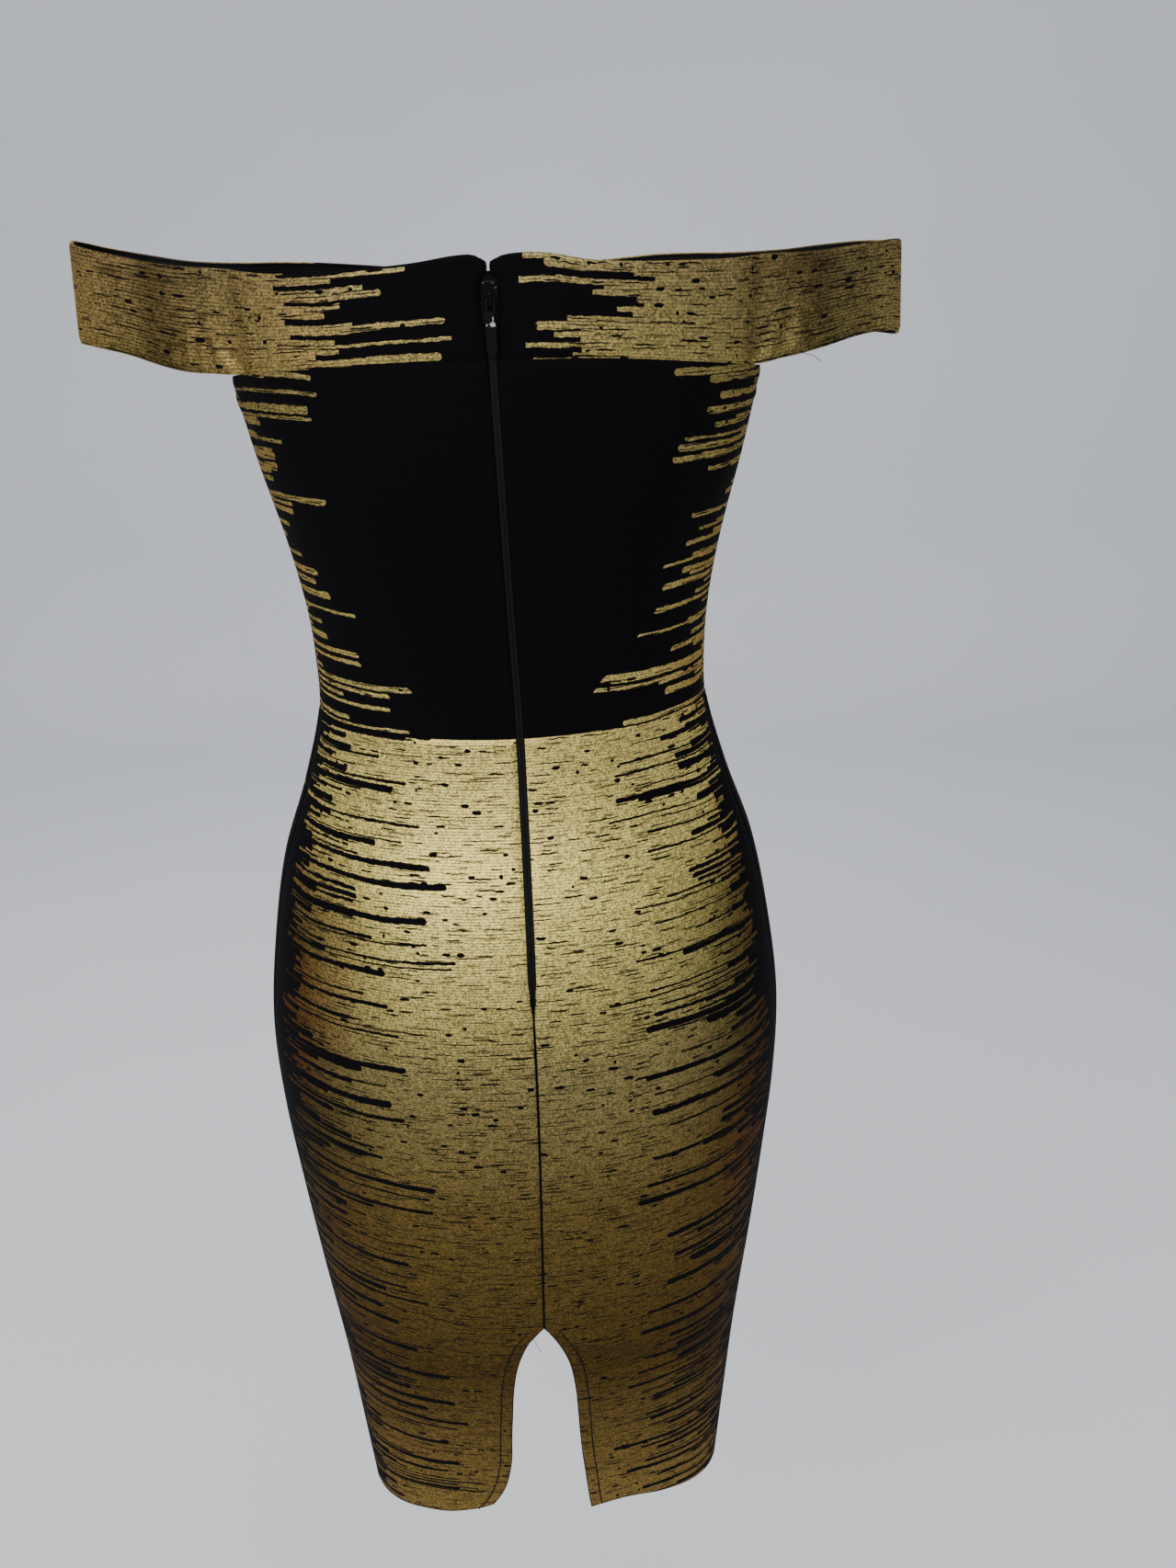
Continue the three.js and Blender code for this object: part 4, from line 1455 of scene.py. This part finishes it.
@dataclass(frozen=True)
class ThreadEnd:
    """A loose end of sewing thread that hangs from a seam."""

    name: str
    path: tuple[tuple[float, float, float], ...]
    thick: float = 0.32

    def build(self, finishes: Finishes) -> bpy.types.Object:
        """Makes the thread's end.

        Args:
            finishes: The dress's materials.

        Returns:
            The finished object.
        """
        curve = bpy.data.curves.new(self.name, "CURVE")
        curve.dimensions = "3D"
        curve.bevel_depth = self.thick / 2 * MM
        line = curve.splines.new("NURBS")
        line.points.add(len(self.path) - 1)
        for point, place in zip(line.points, self.path):
            point.co = (*(v * MM for v in place), 1)
        line.order_u = 3
        line.use_endpoint_u = True
        curve.materials.append(finishes.thread)
        piece = linked(self.name, curve)
        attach(piece, "dress")
        return piece


THREAD_ENDS = (
    ThreadEnd("thread_end_armpit", ((-154, 46, -24), (-157, 49, -27), (-162, 50, -27), (-166, 50, -31))),
    ThreadEnd("thread_end_vent", ((10, 97, -615), (7, 98, -619), (6, 97, -624), (4, 97, -627))),
)


@dataclass
class Hardware:
    """The zip's tapes, slider and pull, which keep their solids."""

    def dress(self, finishes: Finishes) -> None:
        """Gives each solid its finish.

        Args:
            finishes: The dress's materials.
        """
        chosen = {"zip_tape_left": finishes.tape, "zip_tape_right": finishes.tape,
                  "zip_slider": finishes.slider, "zip_pull": finishes.pull}
        for name, material in chosen.items():
            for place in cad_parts[name].material_slots:
                place.material = material
            LOG.info("%s: %s", name, material.name)


@dataclass(frozen=True)
class Panel:
    """A soft panel light, in metres and watts."""

    name: str
    place: tuple[float, float, float]
    target: tuple[float, float, float]
    size: tuple[float, float]
    power: float

    def hang(self) -> None:
        """Puts it in the scene, facing its target."""
        data = bpy.data.lights.new(self.name, "AREA")
        data.shape = "RECTANGLE"
        data.size, data.size_y = self.size
        data.energy = self.power
        lamp = linked(self.name, data)
        lamp.location = self.place
        lamp.rotation_euler = (Vector(self.target) - Vector(self.place)).to_track_quat("-Z", "Y").to_euler()


PANELS = (
    Panel("overhead", (0.1, 0.6, 1.7), (0, -0.1, -0.3), (1.8, 1.0), 22.0),
    Panel("before_the_front", (0.3, -2.2, 1.7), (0, 0, -0.3), (1.6, 0.8), 34.0),
    Panel("behind_camera", (1.0, 2.5, 1.25), (0, 0, -0.25), (2.8, 1.0), 92.0),
)


@dataclass
class Stage:
    """The pale floor, the wall behind, the lights and the camera."""

    reach: float = 6.0
    wall: float = -3.4
    wall_height: float = 5.0
    curve: float = 0.5
    air: float = 0.66  # the room's own light
    air_tone: str = "#dfe3e8"

    def build(self) -> None:
        """Makes the whole stage."""
        self._sweep()
        for panel in PANELS:
            panel.hang()
        world = bpy.data.worlds.new("soft_room")
        world.use_nodes = True
        background = world.node_tree.nodes["Background"].inputs
        background["Color"].default_value = linear(self.air_tone)
        background["Strength"].default_value = self.air
        bpy.context.scene.world = world
        self._camera()

    def _sweep(self) -> None:
        """A pale floor that curves up into a wall in front of the dress."""
        maker = bmesh.new()
        bmesh.ops.create_grid(maker, x_segments=1, y_segments=1, size=self.reach,
                              matrix=Matrix.Translation((0, 0, FLOOR * MM)))
        far = [v for v in maker.verts if v.co.y < 0]
        for vertex in far:
            vertex.co.y = self.wall
        rim = [e for e in maker.edges if all(v in far for v in e.verts)]
        raised = bmesh.ops.extrude_edge_only(maker, edges=rim)["geom"]
        corners = [g for g in raised if isinstance(g, bmesh.types.BMVert)]
        bmesh.ops.translate(maker, vec=(0, 0, self.wall_height), verts=corners)
        bmesh.ops.bevel(maker, geom=rim, offset=self.curve, segments=12, profile=0.5, affect="EDGES",
                        material=-1)
        bmesh.ops.recalc_face_normals(maker, faces=maker.faces[:])
        # The wall stands square to the camera.
        turn = Matrix.Rotation(-math.radians(VIEW_HEADING), 3, "Z")
        bmesh.ops.rotate(maker, verts=maker.verts[:], matrix=turn)
        made(maker, "studio_sweep", StudioPlaster().make())

    @staticmethod
    def _camera() -> None:
        """The camera at the photograph's viewpoint."""
        pitch, heading, roll = (math.radians(v) for v in (VIEW_PITCH, VIEW_HEADING, VIEW_ROLL))
        ahead = Vector((-math.sin(heading) * math.cos(pitch), -math.cos(heading) * math.cos(pitch),
                        -math.sin(pitch)))
        level = Vector((-math.cos(heading), math.sin(heading), 0))
        upright = level.cross(ahead).normalized()
        right = level * math.cos(roll) - upright * math.sin(roll)
        up = level * math.sin(roll) + upright * math.cos(roll)
        data = bpy.data.cameras.new("view")
        data.sensor_fit = "VERTICAL"
        data.sensor_height = 24
        data.lens = VIEW_FOCAL / VIEW_HEIGHT * data.sensor_height
        data.clip_start = 0.02
        camera = linked("view", data)
        turn = Matrix((right, up, -ahead)).transposed().to_4x4()
        camera.matrix_world = Matrix.Translation(Vector(VIEW_PLACE) * MM) @ turn
        bpy.context.scene.camera = camera


def main() -> None:
    """Builds the dress's looks and the stage."""
    logging.basicConfig(level=logging.INFO, format="%(message)s")
    Stage().build()
    finishes = Finishes()
    sheets = [Band().front(), Bodice().front(), Skirt().front()]
    for part in (Band(), Bodice(), Skirt()):
        sheets += [part.back(side) for side in Side]
    for sheet in sheets:
        sheet.build(finishes)
    for side in Side:
        LOG.info("%s", Sewing().vent(side, finishes).name)
    for end in THREAD_ENDS:
        LOG.info("%s", end.build(finishes).name)
    Hardware().dress(finishes)


if __name__ == "__main__":
    main()
